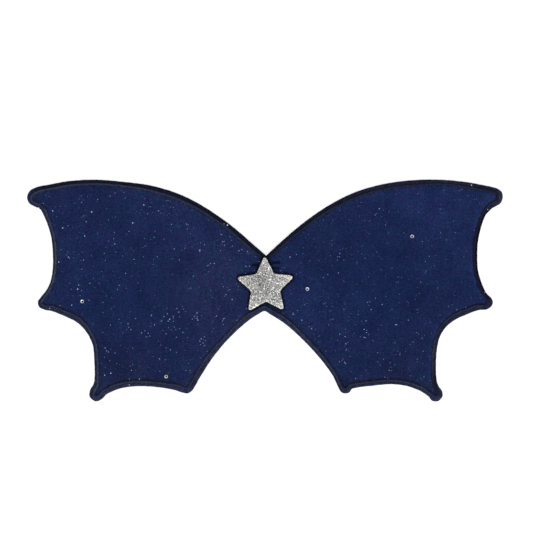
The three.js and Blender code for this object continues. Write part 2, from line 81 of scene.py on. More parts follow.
# The cut edge, past which the pile stands out, and its rings up to the stitching, from underneath.
# share goes from 0 at the cut edge to 1 at the stitching; inset is a distance in from the cut edge.
PILE_OVERHANG = 0.34 * MM
CUT_WOBBLE = {"wavelength": 9 * MM, "height": 0.09 * MM, "seed": 21}
HIDDEN_LAP = 0.05 * MM
MARGIN_RINGS = table(
    "share inset up",
    (1.0, 0, STITCH_DIMPLE),
    (0.6, 0, 0.03 * MM),
    (0.2, 0, 0.03 * MM),
    (0, 0.28 * MM, 0.05 * MM),
    (0, 0.02 * MM, 0.30 * MM),
    (0, 0.06 * MM, 0.58 * MM),
    (0, 0.34 * MM, 0.72 * MM),
    (0, 0.05 * MM, 0.90 * MM),
    (0, 0.02 * MM, 1.22 * MM),
    (0, 0.25 * MM, CLOTH_AT_CUT),
    (0.25, 0, 1.82 * MM),
    (0.55, 0, CLOTH_IN_MARGIN),
    (0.82, 0, 1.78 * MM),
    (1.0, 0, CLOTH_UNDER_STITCH),
)
FRAY_COUNT = 9000
FRAY_LENGTHS = {"least": 0.05 * MM, "usual": 0.2 * MM, "most": 1.2 * MM}
FRAY_ROOT = 0.3 * MM
FRAY_HEIGHTS = (0.25 * MM, 1.35 * MM)
FRAY_LEAN = 0.4
FRAY_RISE = 0.15
FRAY_LOWEST = 0.05 * MM
FRAY_THICK = 0.06 * MM

# The stitching: a core over which the threads lie side by side, and its gap to the cloth
BAND_WIDTH = 3.2 * MM
BAND_GAP = 0.2 * MM
BAND_CREST = 2.95 * MM
BESIDE_BAND = 1 + 2 * BAND_GAP / BAND_WIDTH
CORE_SHARES = (-0.97, -0.7, -0.35, 0, 0.35, 0.7, 0.97)
CORE_TONE = 0.4
CORE_DROP = 0.04 * MM
STITCH_PITCH = 0.44 * MM
STITCH_LEAN = 0.7
STITCH_FULLNESS = 1.12
STITCH_STOPS = {"front": 7, "back": 5}
STITCH_SPREAD = {"end": 0.02, "height": 0.03, "width": 0.1, "tone": 0.12}
THREAD_DEPTH = 0.22 * MM
BACK_THREAD_DROP = 0.28 * MM
BACK_THREAD_FOOT = 0.05 * MM
# Its painted highlight along the crest, with painted shade towards its sides, in shares of half its width,
# and how far that line wanders to either side
BAND_PAINTED_HIGHLIGHT = {"half": 0.15, "reach": 0.9}
BAND_WANDER = 0.22

# How light the cut rim, the margin, the stitching and the velvet just inside it are, and how much
# lighter (halo) and greyer (brushed) the velvet is a little further in, for the wing on each side
# and by the way that the edge faces, in degrees from +X. Most of it is painted light and shade:
# lighter where an edge faces the key light, darker where it is turned away, a rim painted dark against
# the glow of the table, painted shade on the velvet just inside the stitching, and painted light in the halo.
EDGE_TONES = table(
    "side heading rim margin band inside halo brushed",
    (-1, 45, 0.06, 0.08, 0.42, 1.10, 0.00, 0.6),
    (-1, 85, 0.09, 0.12, 0.66, 0.95, 0.00, 0.8),
    (-1, 180, 0.38, 0.50, 0.86, 0.82, 0.05, 0.7),
    (-1, -90, 0.50, 0.76, 0.55, 0.40, 0.02, 0.9),
    (-1, -45, 0.45, 0.74, 0.57, 0.72, 0.18, 1.0),
    (1, 135, 0.04, 0.05, 0.24, 0.95, 0.10, 0.3),
    (1, 90, 0.28, 0.38, 0.22, 1.10, 0.16, 0.1),
    (1, 0, 0.00, 0.00, 0.02, 1.15, 0.08, 0.1),
    (1, -90, 0.36, 0.53, 0.34, 0.42, 0.02, 0.9),
    (1, -135, 0.46, 0.78, 0.80, 0.38, 0.10, 0.9),
)
# Stretches of the edge where these painted tones are lighter or darker than that
EDGE_PATCHES = table(
    "x y reach rim margin band inside brushed",
    (500, 197, 10, 0.60, 0.80),
    (488, 186, 12, None, 0.20, 0.10),
    (491, 305, 9, 0.25, 0.50),
    (437, 350, 30, 0.25, 0.42, 0.50, 1.35),
    (437, 399, 10, 0.45, 0.90),
    (434, 393, 9, None, None, None, 0.45, 1.0),
    (346, 392, 8, 0.55, 0.75),
    (345, 387, 8, None, None, None, 0.25, 1.0),
    (96, 392, 9, None, None, None, 0.40, 1.0),
    (36, 197, 9, None, None, None, 0.70, 1.0),
    (194, 383, 8, 0.30, 0.52, 0.36),
    (341, 386, 6, None, 0.60, 0.55),
    (442, 390, 5, 0.20, 0.40),
    (54, 282, 18, 0.24, 0.20, 1.05),
)
TONE_SHARPNESS = 6
TONE_SMOOTHINGS = 25
# How much each of these wanders along the edge, and how uneven the cloth beside the stitching is
EDGE_WANDER = {"rim": 0.25, "margin": 0.20, "band": 0.20, "inside": 0.12, "halo": 0, "brushed": 0}
EDGE_WANDER_LENGTH = 10 * MM
EDGE_WANDER_SEED = 200
EDGE_GRAIN = 0.3
# Soft patches where the pile is brushed greyer, partly a painted sheen, or bluer, and lighter, or darker
NAP_PATCHES = table(
    "x y reach brushed lighter",
    (218, 290, 46, 1.0, 0.00),
    (222, 345, 30, 0.6, 0.10),
    (180, 208, 30, 0.3, 0.12),
    (418, 196, 36, 0.0, 0.20),
    (474, 250, 22, 0.0, 0.10),
    (385, 295, 62, -0.8, 0.00),
    (330, 258, 26, 0.0, -0.12),
    (430, 295, 30, 0.0, -0.12),
    (120, 312, 42, -0.6, 0.00),
    (120, 370, 44, 0.7, -0.10),
    (400, 375, 40, 0.5, -0.03),
    (165, 300, 30, 0.0, -0.09),
    (225, 252, 14, 0.4, 0.14),
    (34, 198, 9, 1.2, -0.05),
    (432, 387, 7, 1.5, 0.04),
    (490, 196, 11, 0.2, 0.36),
    (343, 381, 7, 0.0, -0.25),
)
# The velvet's tone is stored as a share of this
TONE_TOP = 1.5
# How much painted shade darkens it beside the stitching, round the star, between the star and the
# stitching, on the stitching near the star and beside the tacks, how far the painted light of the halo
# reaches, and how much darker it is towards the lower edge
SHADE_RUN = 1.8 * MM
HALO_RUN = 4.5 * MM
STAR_SHADE = 0.6
STAR_SHADE_RUN = 0.8 * MM
BETWEEN_SHADE = {"above": 0.9, "below": 0.4}
BETWEEN_SHADE_RUN = 4 * MM
BAND_SHADE = {"above": 0.7, "below": 0.1}
BAND_SHADE_RUN = 12 * MM
TACK_SHADE = 0.5
TACK_SHADE_RUN = 1.9 * MM
DARKER_DOWNWARDS = 0.13
DARKER_DOWNWARDS_RUN = 90 * MM

# The form of a flake. Then the glitter dots: those scattered over the wing on each side, and where
# they lie thicker or thinner; small groups of brighter ones; and single ones, the brightest first
FLAKE_SIDES = 6
FLAKE_THICK = 0.08
DOT_ROWS = table("side count seed glint most", (-1, 335, 101, 0.18, 0.46), (1, 300, 202, 0.10, 0.38))
DOT_PATCHES = table(
    "x y reach more",
    (262, 285, 55, 1.0),
    (335, 300, 34, 0.6),
    (425, 225, 62, -0.8),
    (40, 215, 24, 0.7),
    (170, 268, 26, -0.5),
)
DOT_THICKNESS = table("length height seed", (60, 0.4, 0), (22, 0.5, 1))
DOT_CHANCE = 0.9
DOT_TRIES = 40
DOT_SPACING = 1.8 * MM
DOT_FROM_BAND = 1 * MM
DOT_LIFT = 0.12 * MM
DOT_TILT = math.radians(14)
FAINTEST_DOT = 0.02
# Keeps a level stretch of a line from a division by zero
NEVER_LEVEL = 1e-12
DOT_GROUPS = [
    (155, 321), (170, 318), (125, 328), (147, 335), (177, 327), (113, 354), (195, 319), (223, 318),
    (225, 292), (204, 341), (228, 243), (212, 263), (67, 256), (313, 329), (293, 314), (341, 254),
    (378, 212), (427, 264), (363, 335), (346, 344), (343, 359), (389, 369), (416, 336),
]
DOTS_IN_GROUP = 5
GROUP_REACH = 4 * MM
GROUP_TONES = (0.10, 0.48)
BRIGHT_DOTS = [
    (39, 208), (133, 223), (59, 262), (144, 205), (111, 373), (485, 292), (92, 212), (290, 257),
    (53, 211), (72, 305), (85, 236), (78, 289), (63, 228), (200, 251), (170, 319), (105, 375),
    (198, 320), (200, 341), (471, 185), (79, 285), (408, 320), (150, 336), (115, 244),
]
BRIGHT_TONES = {"first": 0.78, "fall": 0.33}
# The radius of a dot in millimetres, by its tone and at random, and dots with a set radius
DOT_RADIUS = {"least": 0.34, "by_tone": 0.30, "random": (-0.04, 0.20)}
SET_DOTS = table(
    "x y tone radius",
    (50, 308.5, 0.7, 0.55),
    (471.4, 185.5, 0.7, 0.55),
    (487.5, 209.5, 0.7, 0.55),
    (129.5, 384.7, 0.7, 0.55),
    (224.1, 224.0, 0.4, 0.6),
    (227.5, 225.2, 0.85, 0.85),
    (395.0, 324.6, 0.4, 0.6),
    (396.2, 324.6, 0.55, 0.6),
)

# The star: a felt backing, a silver top drawn in from its edge, and flakes over that
STAR_STEP = 1 * MM
STAR_ROUNDINGS = 2
STAR_BACKING = 1.3 * MM
STAR_BACKING_LATTICE = 3 * MM
STAR_LATTICE = 0.9 * MM
STAR_SILVER_INSET = 1.7 * MM
STAR_CROWN = 0.62 * MM
STAR_CROWN_RUN = 6 * MM
FLAKE_ROOM = 0.2 * MM
STAR_FLAKES = 3900
# How light its flakes are in the middle, and how much lighter towards the tips, with a painted highlight at
# the rim and painted light on the side of its upper and its right arm; how much they differ, and how many of
# them are bright
STAR_TONES = {"middle": 0.27, "tips": 0.24, "rim": 0.18, "side": 0.20, "spread": 0.30}
STAR_TIP_REACH = 27 * MM
STAR_RIM_RUN = 1.2 * MM
STAR_PAINTED_LIGHT_SIDE = (0.6, 0.8)
STAR_BRIGHT_SHARE = 0.15
STAR_BRIGHT_TONES = (0.8, 1)
STAR_FLAKE_RADII = (0.42 * MM, 0.95 * MM)
STAR_SIDE_RADIUS = 0.35 * MM
STAR_PAST_RIM = 0.15 * MM
STAR_FLAKE_LIFTS = (0.02 * MM, 0.6 * FLAKE_ROOM)
STAR_RIM_WIDTH = 1 * MM
STAR_TILTS = {"inside": 32, "rim": 12}
# How far up the normals of its top point at least, and down those of its underside
STAR_FACE_LEAN = 0.5

# The loose sequins: their foil, how light it is, and how much lighter on the side at heading, or on
# two sides, a painted highlight. Then their section in shares of their radius, from the hole under the dish
# to the rim and back over its top, with tones that paint shade round the hole and at the rim and a highlight
# across the dish
SEQUIN_SIDES = 36
SEQUIN_FACETS = 6
SEQUIN_FACET_DEPTH = 0.035
SEQUIN_FACET_TONE = 0.1
SEQUIN_TURN = 3
SEQUIN_LIFT = 0.12 * MM
SEQUIN_ROWS = table(
    "node foil level shine heading sides",
    ("sequin_left_outer", "silver", 0.95, 0.28, 135, 1),
    ("sequin_left_lower", "gold", 0.90, 0.55, -90, 1),
    ("sequin_right_inner", "silver", 1.00, 0.20, 40, 1),
    ("sequin_right_outer", "silver", 0.80, 0.35, 0, 2),
)
SEQUIN_PROFILE = table(
    "out up tone",
    (0.27, -0.06, 0.1),
    (0.50, -0.03, 0.5),
    (0.78, 0.16, 0.5),
    (0.94, 0.27, 0.1),
    (0.97, 0.33, 0.0),
    (0.90, 0.36, 0.0),
    (0.81, 0.30, 0.15),
    (0.73, 0.24, 0.9),
    (0.56, 0.09, 0.95),
    (0.46, 0.04, 0.1),
    (0.27, 0.00, 0.0),
)

# The straps under the cloth, how the cloth comes down beside them, and their fine ribs, which a
# braid raises and lowers in turn
STRAP_WIDTH = 10 * MM
STRAP_THICK = 1 * MM
STRAP_GAP = 0.35 * MM
STRAP_OVERLAP = 34 * MM
STRAP_RAMP = 26 * MM
DRAPE_FLAT = 12 * MM
DRAPE_RUN = 46 * MM
TAPE_STEP = 0.7 * MM
TAPE_FOLD_STEPS = 13
TAPE_RIBS = 11
TAPE_RIB_POINTS = 4
TAPE_RIB_DEPTH = 0.14 * MM
TAPE_BRAID_PITCH = 2.8 * MM
TAPE_BRAID_SHARE = 0.35

# The bar tacks: where they show on top, from pixel to pixel, and their threads on either face
BAR_TACKS = table(
    "start end height",
    ((252.0, 265.3), (258.5, 264.8), 3.8 * MM),
    ((270.6, 263.2), (279.8, 262.4), 3.4 * MM),
    ((272.4, 267.9), (278.6, 268.2), 2.2 * MM),
)
TACK_PITCH = 0.5 * MM
TACK_THREAD = 0.9 * TACK_PITCH
TACK_SLANT = 0.12 * MM
TACK_ARCH = np.array([0, 0.8, 1, 0.8, 0])
TACK_SPREAD = {"place": 0.05 * MM, "length": 0.2, "height": 0.1}
TACK_TOP = {"rise": 0.45 * MM, "depth": 0.3 * MM}
TACK_BACK = {"rise": -0.12 * MM, "depth": 0.1 * MM}
UNDER_TACK_LENGTH = 7.5 * MM
UNDER_TACK_HEIGHT = 3.0 * MM
UNDER_TACK_INSET = 1.5 * MM
UNDER_TACK_LEVEL = 0.06 * MM

# The surface that the wings lie on, the light, and a height above everything
FLOOR_HALF = 4
FLOOR_HEIGHT = -0.2 * MM
TABLE_GLOW = 0.72
KEY_LIGHT = {"azimuth": -78, "elevation": 38, "distance": 2.2, "size": 0.9, "power": 45}
WORLD_LIGHT = 1.35
ABOVE_ALL = 0.1

# The seeds of the random draws that have no row of their own
SEEDS = {"grain": 29, "stitches": 31, "back_stitches": 37, "star": 47, "star_flakes": 53, "groups": 59}
SEEDS |= {"dots": 61, "dot_flakes": 67, "tacks": 71, "fray": 83, "under_tacks": 97}

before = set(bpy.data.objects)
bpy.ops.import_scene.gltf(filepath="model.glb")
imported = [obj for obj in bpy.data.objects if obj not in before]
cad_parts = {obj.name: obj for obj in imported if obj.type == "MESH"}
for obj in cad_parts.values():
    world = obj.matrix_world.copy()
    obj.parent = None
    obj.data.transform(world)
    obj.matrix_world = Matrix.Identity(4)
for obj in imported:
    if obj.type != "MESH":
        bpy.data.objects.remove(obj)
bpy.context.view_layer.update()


def at_pixel(x, y):
    """The place in plan that a pixel of the photograph shows."""
    return np.array([(x - PHOTO_ORIGIN[0]) * PIXEL, (PHOTO_ORIGIN[1] - y) * PIXEL])


def new_object(name, data):
    """A new object in the scene."""
    made = bpy.data.objects.new(name, data)
    bpy.context.scene.collection.objects.link(made)
    return made


def add_camera():
    middle = at_pixel(PHOTO_PIXELS / 2, PHOTO_PIXELS / 2)
    data = bpy.data.cameras.new("camera")
    data.lens = LENS
    data.sensor_width = SENSOR
    camera = new_object("camera", data)
    camera.location = (middle[0], middle[1], PHOTO_WIDTH * LENS / SENSOR)
    bpy.context.scene.camera = camera


add_camera()


# Meshes

def mesh_object(name, points, faces, material, smooth):
    mesh = bpy.data.meshes.new(name)
    mesh.from_pydata(np.asarray(points).tolist(), [], [tuple(face) for face in faces])
    mesh.validate()
    mesh.update()
    if smooth:
        mesh.shade_smooth()
    mesh.materials.append(material)
    return new_object(name, mesh)


def add_piece(name, points, faces, material, slot, nodes=(), smooth=True, **values):
    """A piece on the part's one body, which stands for the nodes. values are from 0 to 1, one for
    each point, and its material reads them."""
    piece = mesh_object(name, points, faces, material, smooth)
    for key, numbers in values.items():
        layer = piece.data.attributes.new(key, "FLOAT", "POINT")
        layer.data.foreach_set("value", np.asarray(numbers, np.float32))
    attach(piece, "root")
    if nodes:
        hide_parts(*nodes)
    return piece


def raised(places, up):
    """Places in plan, at the heights up."""
    return np.column_stack([places, np.broadcast_to(up, len(places))])


def strips(starts, count):
    """The quads between each closed ring of so many points and the next, by their first indices."""
    here = np.arange(count)
    ahead = (here + 1) % count
    pairs = zip(starts, starts[1:])
    return np.concatenate([np.stack([a + here, a + ahead, b + ahead, b + here], axis=1) for a, b in pairs])


def repeated(faces, size, count):
    """The faces of so many copies of a form of size points, which follow each other."""
    copies = np.array(faces)[None] + size * np.arange(count)[:, None, None]
    return copies.reshape(-1, len(faces[0])).tolist()


def joined(shapes):
    """Several shapes as one: their points, their faces and, where they have them, their tones."""
    points, groups, *tones = zip(*shapes)
    firsts = np.cumsum([0, *map(len, points)]).tolist()
    faces = [[first + index for index in face] for first, faces in zip(firsts, groups) for face in faces]
    return [np.concatenate(points), faces, *map(np.concatenate, tones)]


# Numbers

def lengths(vectors):
    return np.linalg.norm(vectors, axis=-1)


def unit(vectors):
    return vectors / lengths(vectors)[..., None]


def smooth_step(value):
    value = np.clip(value, 0, 1)
    return value * value * (3 - 2 * value)


def fading(away, run):
    """1 where away is 0, falling off over the run."""
    return np.exp(-away / run)


def bell(away, run):
    """1 where away is 0, falling off on both sides within about the run."""
    return np.exp(-(away / run) ** 2)


def ripple(places, wavelength, height, seed):
    """A smooth random relief of about that wavelength, at places in plan."""
    draw = np.random.default_rng(seed)
    total = np.zeros(len(places))
    for _ in range(RIPPLE_WAVES):
        heading = draw.uniform(0, 2 * math.pi)
        length = wavelength * draw.uniform(*RIPPLE_LENGTHS)
        phase = draw.uniform(0, 2 * math.pi)
        course = places[:, 0] * math.cos(heading) + places[:, 1] * math.sin(heading)
        total += np.sin(2 * math.pi * course / length + phase)
    return height * total / math.sqrt(RIPPLE_WAVES)


def ripple_along(along, wavelength, height, seed):
    """The same at distances along a line."""
    return ripple(np.column_stack([along, 0 * along]), wavelength, height, seed)


# Closed lines, as arrays of places in plan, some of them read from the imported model

def rim_loops(node, way):
    """The closed loops of a node's edges where a face that looks up (way 1) or down (way -1) meets
    one that looks aside."""
    shape = bmesh.new()
    shape.from_mesh(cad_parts[node].data)
    bmesh.ops.remove_doubles(shape, verts=shape.verts, dist=WELD)
    shape.normal_update()
    shape.verts.index_update()
    links = {}
    for edge in shape.edges:
        leans = [way * face.normal.z for face in edge.link_faces]
        if max(leans) > ASIDE_LEAN >= abs(min(leans)):
            for vertex in edge.verts:
                links.setdefault(vertex, []).append(edge.other_vert(vertex))
    loops = []
    left = set(links)
    while left:
        here = min(left, key=lambda vertex: vertex.index)
        loop = []
        while here is not None:
            loop.append(here.co[:2])
            left.discard(here)
            here = next((other for other in links[here] if other in left), None)
        loops.append(anticlockwise(np.array(loop)))
    shape.free()
    return loops


def enclosed_area(loop):
    ahead = np.roll(loop, -1, axis=0)
    return 0.5 * np.sum(loop[:, 0] * ahead[:, 1] - loop[:, 1] * ahead[:, 0])


def anticlockwise(loop):
    return loop if enclosed_area(loop) > 0 else loop[::-1]


def turns(loop):
    """The change of direction at each point."""
    ahead = np.roll(loop, -1, axis=0) - loop
    behind = np.roll(ahead, 1, axis=0)
    cross = behind[:, 0] * ahead[:, 1] - behind[:, 1] * ahead[:, 0]
    return np.arctan2(cross, np.sum(behind * ahead, axis=1))


def from_top_notch(loop):
    """The same loop, started at the sharp notch above the star."""
    notches = np.nonzero(turns(loop) < -SHARP_TURN)[0]
    return np.roll(loop, -notches[np.argmax(loop[notches, 1])], axis=0)


def smooth_loop(loop, counts):
    """counts[i] points on the stretch from point i to the next, on smooth curves between the
    loop's sharp corners."""
    sharp = np.abs(turns(loop)) > SHARP_TURN
    size = len(loop)
    parts = []
    for i in range(size):
        start, end = loop[i], loop[(i + 1) % size]
        before = 2 * start - end if sharp[i] else loop[i - 1]
        after = 2 * end - start if sharp[(i + 1) % size] else loop[(i + 2) % size]
        gaps = [math.sqrt(lengths(q - p)) for p, q in ((before, start), (start, end), (end, after))]
        leave = (start - before) / gaps[0] - (end - before) / (gaps[0] + gaps[1]) + (end - start) / gaps[1]
        arrive = (end - start) / gaps[1] - (after - start) / (gaps[1] + gaps[2]) + (after - end) / gaps[2]
        share = (np.arange(counts[i]) / counts[i])[:, None]
        square, cube = share ** 2, share ** 3
        parts.append(
            (2 * cube - 3 * square + 1) * start + (3 * square - 2 * cube) * end
            + gaps[1] * ((cube - 2 * square + share) * leave + (cube - square) * arrive)
        )
    return np.concatenate(parts)


def outward(loop):
    """The unit normals of an anticlockwise loop, pointing out of it."""
    along = np.roll(loop, -1, axis=0) - np.roll(loop, 1, axis=0)
    return unit(np.stack([along[:, 1], -along[:, 0]], axis=1))


def lengths_along(loop):
    """How far along the loop each of its points lies, and its whole length."""
    return np.concatenate([[0], np.cumsum(lengths(np.roll(loop, -1, axis=0) - loop))])


def between_points(values, at, along):
    """Values at the lengths at, worked out from those at a loop's points."""
    closed = np.vstack([values, values[:1]])
    return np.stack([np.interp(at, along, column) for column in closed.T], 1)


def off_segment(places, start, step):
    """How far places lie from the segment from start by step, and at which share of it."""
    share = np.clip(np.sum((places - start) * step, axis=1) / np.sum(step * step, axis=-1), 0, 1)
    return lengths(places - start - share[:, None] * step), share


class Nearest:
    """For places in plan: how far the nearest point of a loop is, and how far along it lies."""

    def __init__(self, line):
        self.line = line
        self.along = lengths_along(line)
        self.tree = KDTree(len(line))
        for index, (x, y) in enumerate(line):
            self.tree.insert((x, y, 0), index)
        self.tree.balance()

    def index(self, places):
        return np.array([self.tree.find((x, y, 0))[1] for x, y in places])

    def __call__(self, places):
        found = self.index(places)
        best = np.full(len(places), np.inf)
        along = np.zeros(len(places))
        for first in (found - 1, found):
            start = self.line[first]
            step = self.line[(first + 1) % len(self.line)] - start
            away, share = off_segment(places, start, step)
            nearer = away < best
            best = np.where(nearer, away, best)
            along = np.where(nearer, self.along[first] + share * lengths(step), along)
        return best, along


def wing_lines():
    """The cut edge and the two sides of the stitching, with as many points each."""
    edge = from_top_notch(rim_loops("wing_panel", 1)[0])
    inner, outer = (from_top_notch(loop) for loop in sorted(rim_loops("edge_cording", -1), key=enclosed_area))
    steps = lengths(np.roll(edge, -1, axis=0) - edge)
    counts = np.maximum(1, np.ceil(steps / LOOP_STEP)).astype(int)
    return [smooth_loop(loop, counts) for loop in (edge, inner, outer)]


def star_outline():
    """The star's outline in short steps, with its corners slightly rounded."""
    corners = rim_loops("star", 1)[0]
    points = []
    for start, end in zip(corners, np.roll(corners, -1, axis=0)):
        steps = max(1, round(lengths(end - start) / STAR_STEP))
        points += [start + (end - start) * step / steps for step in range(steps)]
    line = np.array(points)
    for _ in range(STAR_ROUNDINGS):
        line = (np.roll(line, 1, axis=0) + 2 * line + np.roll(line, -1, axis=0)) / 4
    return line


edge_line, band_inner, band_outer = wing_lines()
stitch_line = (band_inner + band_outer) / 2
star_line = star_outline()
near_stitch = Nearest(stitch_line)
near_star = Nearest(star_line)
TACK_LINES = [(at_pixel(*row["start"]), at_pixel(*row["end"]), row["height"]) for row in BAR_TACKS]

left_strap_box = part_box("strap_left")
right_strap_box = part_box("strap_right")
STRAP_MIDDLE = np.array([
    (left_strap_box[0].x + right_strap_box[1].x) / 2,
    (right_strap_box[0].y + right_strap_box[1].y) / 2,
])
STRAP_REACH = right_strap_box[1].x - STRAP_MIDDLE[0]
STRAP_INNER = right_strap_box[0].x - STRAP_MIDDLE[0]
STRAP_SPREAD = right_strap_box[1].y - right_strap_box[0].y - STRAP_WIDTH
ONE_LAYER = STRAP_THICK + STRAP_GAP


# How light the velvet and the stitching are from place to place

def near_pixel(places, row):
    """How near places are to the middle of a patch: 1 there, falling to 0 beyond its reach."""
    return bell(lengths(places - at_pixel(row["x"], row["y"])), row["reach"] * MM)


def edge_tones(key):
    """One column of EDGE_TONES for each point of the cut edge, blended where the edge turns: mostly painted
    light and shade by the way that the edge faces.
    """
    normal = outward(edge_line)
    total = np.zeros(len(edge_line))
    weights = np.zeros(len(edge_line))
    for row in EDGE_TONES:
        heading = math.radians(row["heading"])
        alike = normal[:, 0] * math.cos(heading) + normal[:, 1] * math.sin(heading)
        weight = np.exp(TONE_SHARPNESS * (alike - 1)) * (np.sign(edge_line[:, 0]) == row["side"])
        total += weight * row[key]
        weights += weight
    tones = total / weights
    for _ in range(TONE_SMOOTHINGS):
        tones = (np.roll(tones, 1) + tones + np.roll(tones, -1)) / 3
    for row in EDGE_PATCHES:
        if key in row:
            tones += (row[key] - tones) * near_pixel(edge_line, row)
    seed = EDGE_WANDER_SEED + list(EDGE_WANDER).index(key)
    along = lengths_along(edge_line)[:-1]
    return tones * (1 + ripple_along(along, EDGE_WANDER_LENGTH, EDGE_WANDER[key], seed))


def by_star_side(row, places):
    """The value that holds above or below the star's middle."""
    return np.where(places[:, 1] > star_line[:, 1].mean(), row["above"], row["below"])


def band_tones():
    """How light the stitching is at each of its points, with painted shadow near the star."""
    away, _ = near_star(stitch_line)
    return edge_tones("band") * (1 - by_star_side(BAND_SHADE, stitch_line) * bell(away, BAND_SHADE_RUN))


def shade_by_the_tacks(places):
    """The painted shade beside the bar tacks, where they press the pile down."""
    away = np.min([off_segment(places, start, end - start)[0] for start, end, _ in TACK_LINES], axis=0)
    return TACK_SHADE * bell(away, TACK_SHADE_RUN)


def top_looks(places, away):
    """How light the velvet's top is, with painted shade beside the stitching, the star and the tacks and
    painted light in the halo; how far its pile is brushed, partly a painted sheen; and how near the
    stitching it is, at places that lie so far from the stitching's middle."""
    index = near_stitch.index(places)
    from_band = np.maximum(0, away - BAND_WIDTH / 2)
    near_band = fading(from_band, SHADE_RUN)
    brushed, lighter = (
        sum(row[key] * near_pixel(places, row) for row in NAP_PATCHES)
        + edge_tones(edge_key)[index] * bell(from_band, HALO_RUN)
        for key, edge_key in (("brushed", "brushed"), ("lighter", "halo"))
    )
    from_star, _ = near_star(places)
    tones = (1 - (1 - edge_tones("inside")[index]) * near_band) * (1 + lighter)
    tones *= 1 - DARKER_DOWNWARDS * smooth_step(-places[:, 1] / DARKER_DOWNWARDS_RUN)
    # Painted shade round the star, between the star and the stitching, and beside the tacks
    tones *= 1 - STAR_SHADE * fading(from_star, STAR_SHADE_RUN)
    tones *= 1 - by_star_side(BETWEEN_SHADE, places) * fading(from_star, BETWEEN_SHADE_RUN) * near_band
    tones *= 1 - shade_by_the_tacks(places)
    return tones, np.clip(brushed, -1, 1), near_band


# Materials: colours between stops of (position, (r, g, b)), and noise patterns

# How the brushed pile tints the velvet: bluer, or greyer and lighter, which is partly a painted sheen
BRUSHED_SHEEN_STOPS = [(0.0, (0.72, 0.86, 0.90)), (0.5, (1.0, 1.0, 1.0)), (1.0, (1.42, 1.14, 0.98))]
# The margin's colours, from its painted shade at tone 0 to its full colour at 1
MARGIN_STOPS = [(0.0, (0.0024, 0.0028, 0.0096)), (1.0, (0.0152, 0.0183, 0.0445))]
THREAD_STOPS = [(0.0, (0.0016, 0.0025, 0.0090)), (1.0, (0.0320, 0.0385, 0.0690))]
SILVER_STOPS = [
    (0.0, (0.040, 0.040, 0.040)), (0.45, (0.21, 0.208, 0.206)), (0.8, (0.45, 0.446, 0.435)),
    (1.0, (0.74, 0.74, 0.72)),
]
DOT_STOPS = [(0.0, (0.030, 0.042, 0.115)), (0.5, (0.165, 0.20, 0.38)), (1.0, (0.58, 0.63, 0.84))]
FOIL_STOPS = [(0.0, (0.005, 0.006, 0.012)), (0.3, (0.09, 0.10, 0.13)), (1.0, (0.56, 0.64, 0.80))]
GOLD_STOPS = [(0.0, (0.005, 0.006, 0.010)), (0.3, (0.10, 0.105, 0.075)), (1.0, (0.66, 0.74, 0.62))]

# Noise in the object's own coordinates: its cells a metre, detail and roughness, and the colours
# at its low and its high end. Where no colour is its own, they are factors. The streaks run along
# the span.
PATTERN_ROWS = table(
    "name cells detail rough low dark high light stretch",
    ("clouds", 28, 3, 0.6, 0.35, (0.0046, 0.0087, 0.0362), 0.68, (0.0066, 0.0122, 0.0462)),
    ("streaks", 260, 2, 0.6, 0.3, (0.93, 0.93, 0.94), 0.7, (1.07, 1.07, 1.06), (1, 0.14, 1)),
    ("blotches", 420, 2, 0.6, 0.32, (0.72, 0.75, 0.80), 0.68, (1.28, 1.25, 1.20)),
    ("specks", 950, 2, 0.7, 0.3, (0.42, 0.47, 0.56), 0.72, (1.72, 1.63, 1.46)),
    ("hues", 150, 2, 0.6, 0.36, (1.16, 0.92, 1.04), 0.64, (0.85, 1.08, 0.97)),
    ("thread_hue", 60, 2, 0.6, 0.35, (0.95, 0.95, 1.12), 0.7, (1.05, 1.1, 1.0)),
    ("thread_wear", 560, 2, 0.6, 0.34, (0.58, 0.60, 0.66), 0.66, (1.42, 1.40, 1.34)),
    ("thread_grain", 1500, 1, 0.5, 0.3, (0.75, 0.75, 0.75), 0.7, (1.25, 1.25, 1.25)),
    ("black_thread", 900, 2, 0.5, 0.3, (0.0018, 0.0024, 0.0070), 0.7, (0.0050, 0.0064, 0.0160)),
    ("black_felt", 900, 2, 0.5, 0.3, (0.0008, 0.0012, 0.0035), 0.7, (0.0022, 0.0030, 0.0070)),
    ("foil_grain", 3000, 1, 0.5, 0.3, (0.85, 0.85, 0.85), 0.7, (1.0, 1.0, 1.0)),
    ("elastic", 1200, 2, 0.6, 0.3, (0.006, 0.006, 0.008), 0.7, (0.014, 0.014, 0.017)),
    ("light_table", 3, 2, 0.5, 0.3, (0.21, 0.21, 0.21), 0.7, (0.23, 0.23, 0.23)),
)
PATTERNS = {row["name"]: row for row in PATTERN_ROWS}
DUST_NOISE = (1400, 2, 0.7)
DUST_STOPS = [(0.32, (0.08, 0.08, 0.08)), (0.5, (0.21, 0.21, 0.205)), (0.66, (0.42, 0.415, 0.40))]


def node(tree, kind, **settings):
    made = tree.nodes.new(kind)
    for key, value in settings.items():
        setattr(made, key, value)
    return made


def attribute(tree, name):
    return node(tree, "ShaderNodeAttribute", attribute_name=name).outputs["Fac"]


def noise(tree, cells, detail, rough, stretch=(1, 1, 1)):
    place = node(tree, "ShaderNodeTexCoord")
    mapping = node(tree, "ShaderNodeMapping")
    mapping.inputs["Scale"].default_value = stretch
    texture = node(tree, "ShaderNodeTexNoise")
    for key, value in (("Scale", cells), ("Detail", detail), ("Roughness", rough)):
        texture.inputs[key].default_value = value
    tree.links.new(place.outputs["Object"], mapping.inputs["Vector"])
    tree.links.new(mapping.outputs["Vector"], texture.inputs["Vector"])
    return texture.outputs["Fac"]


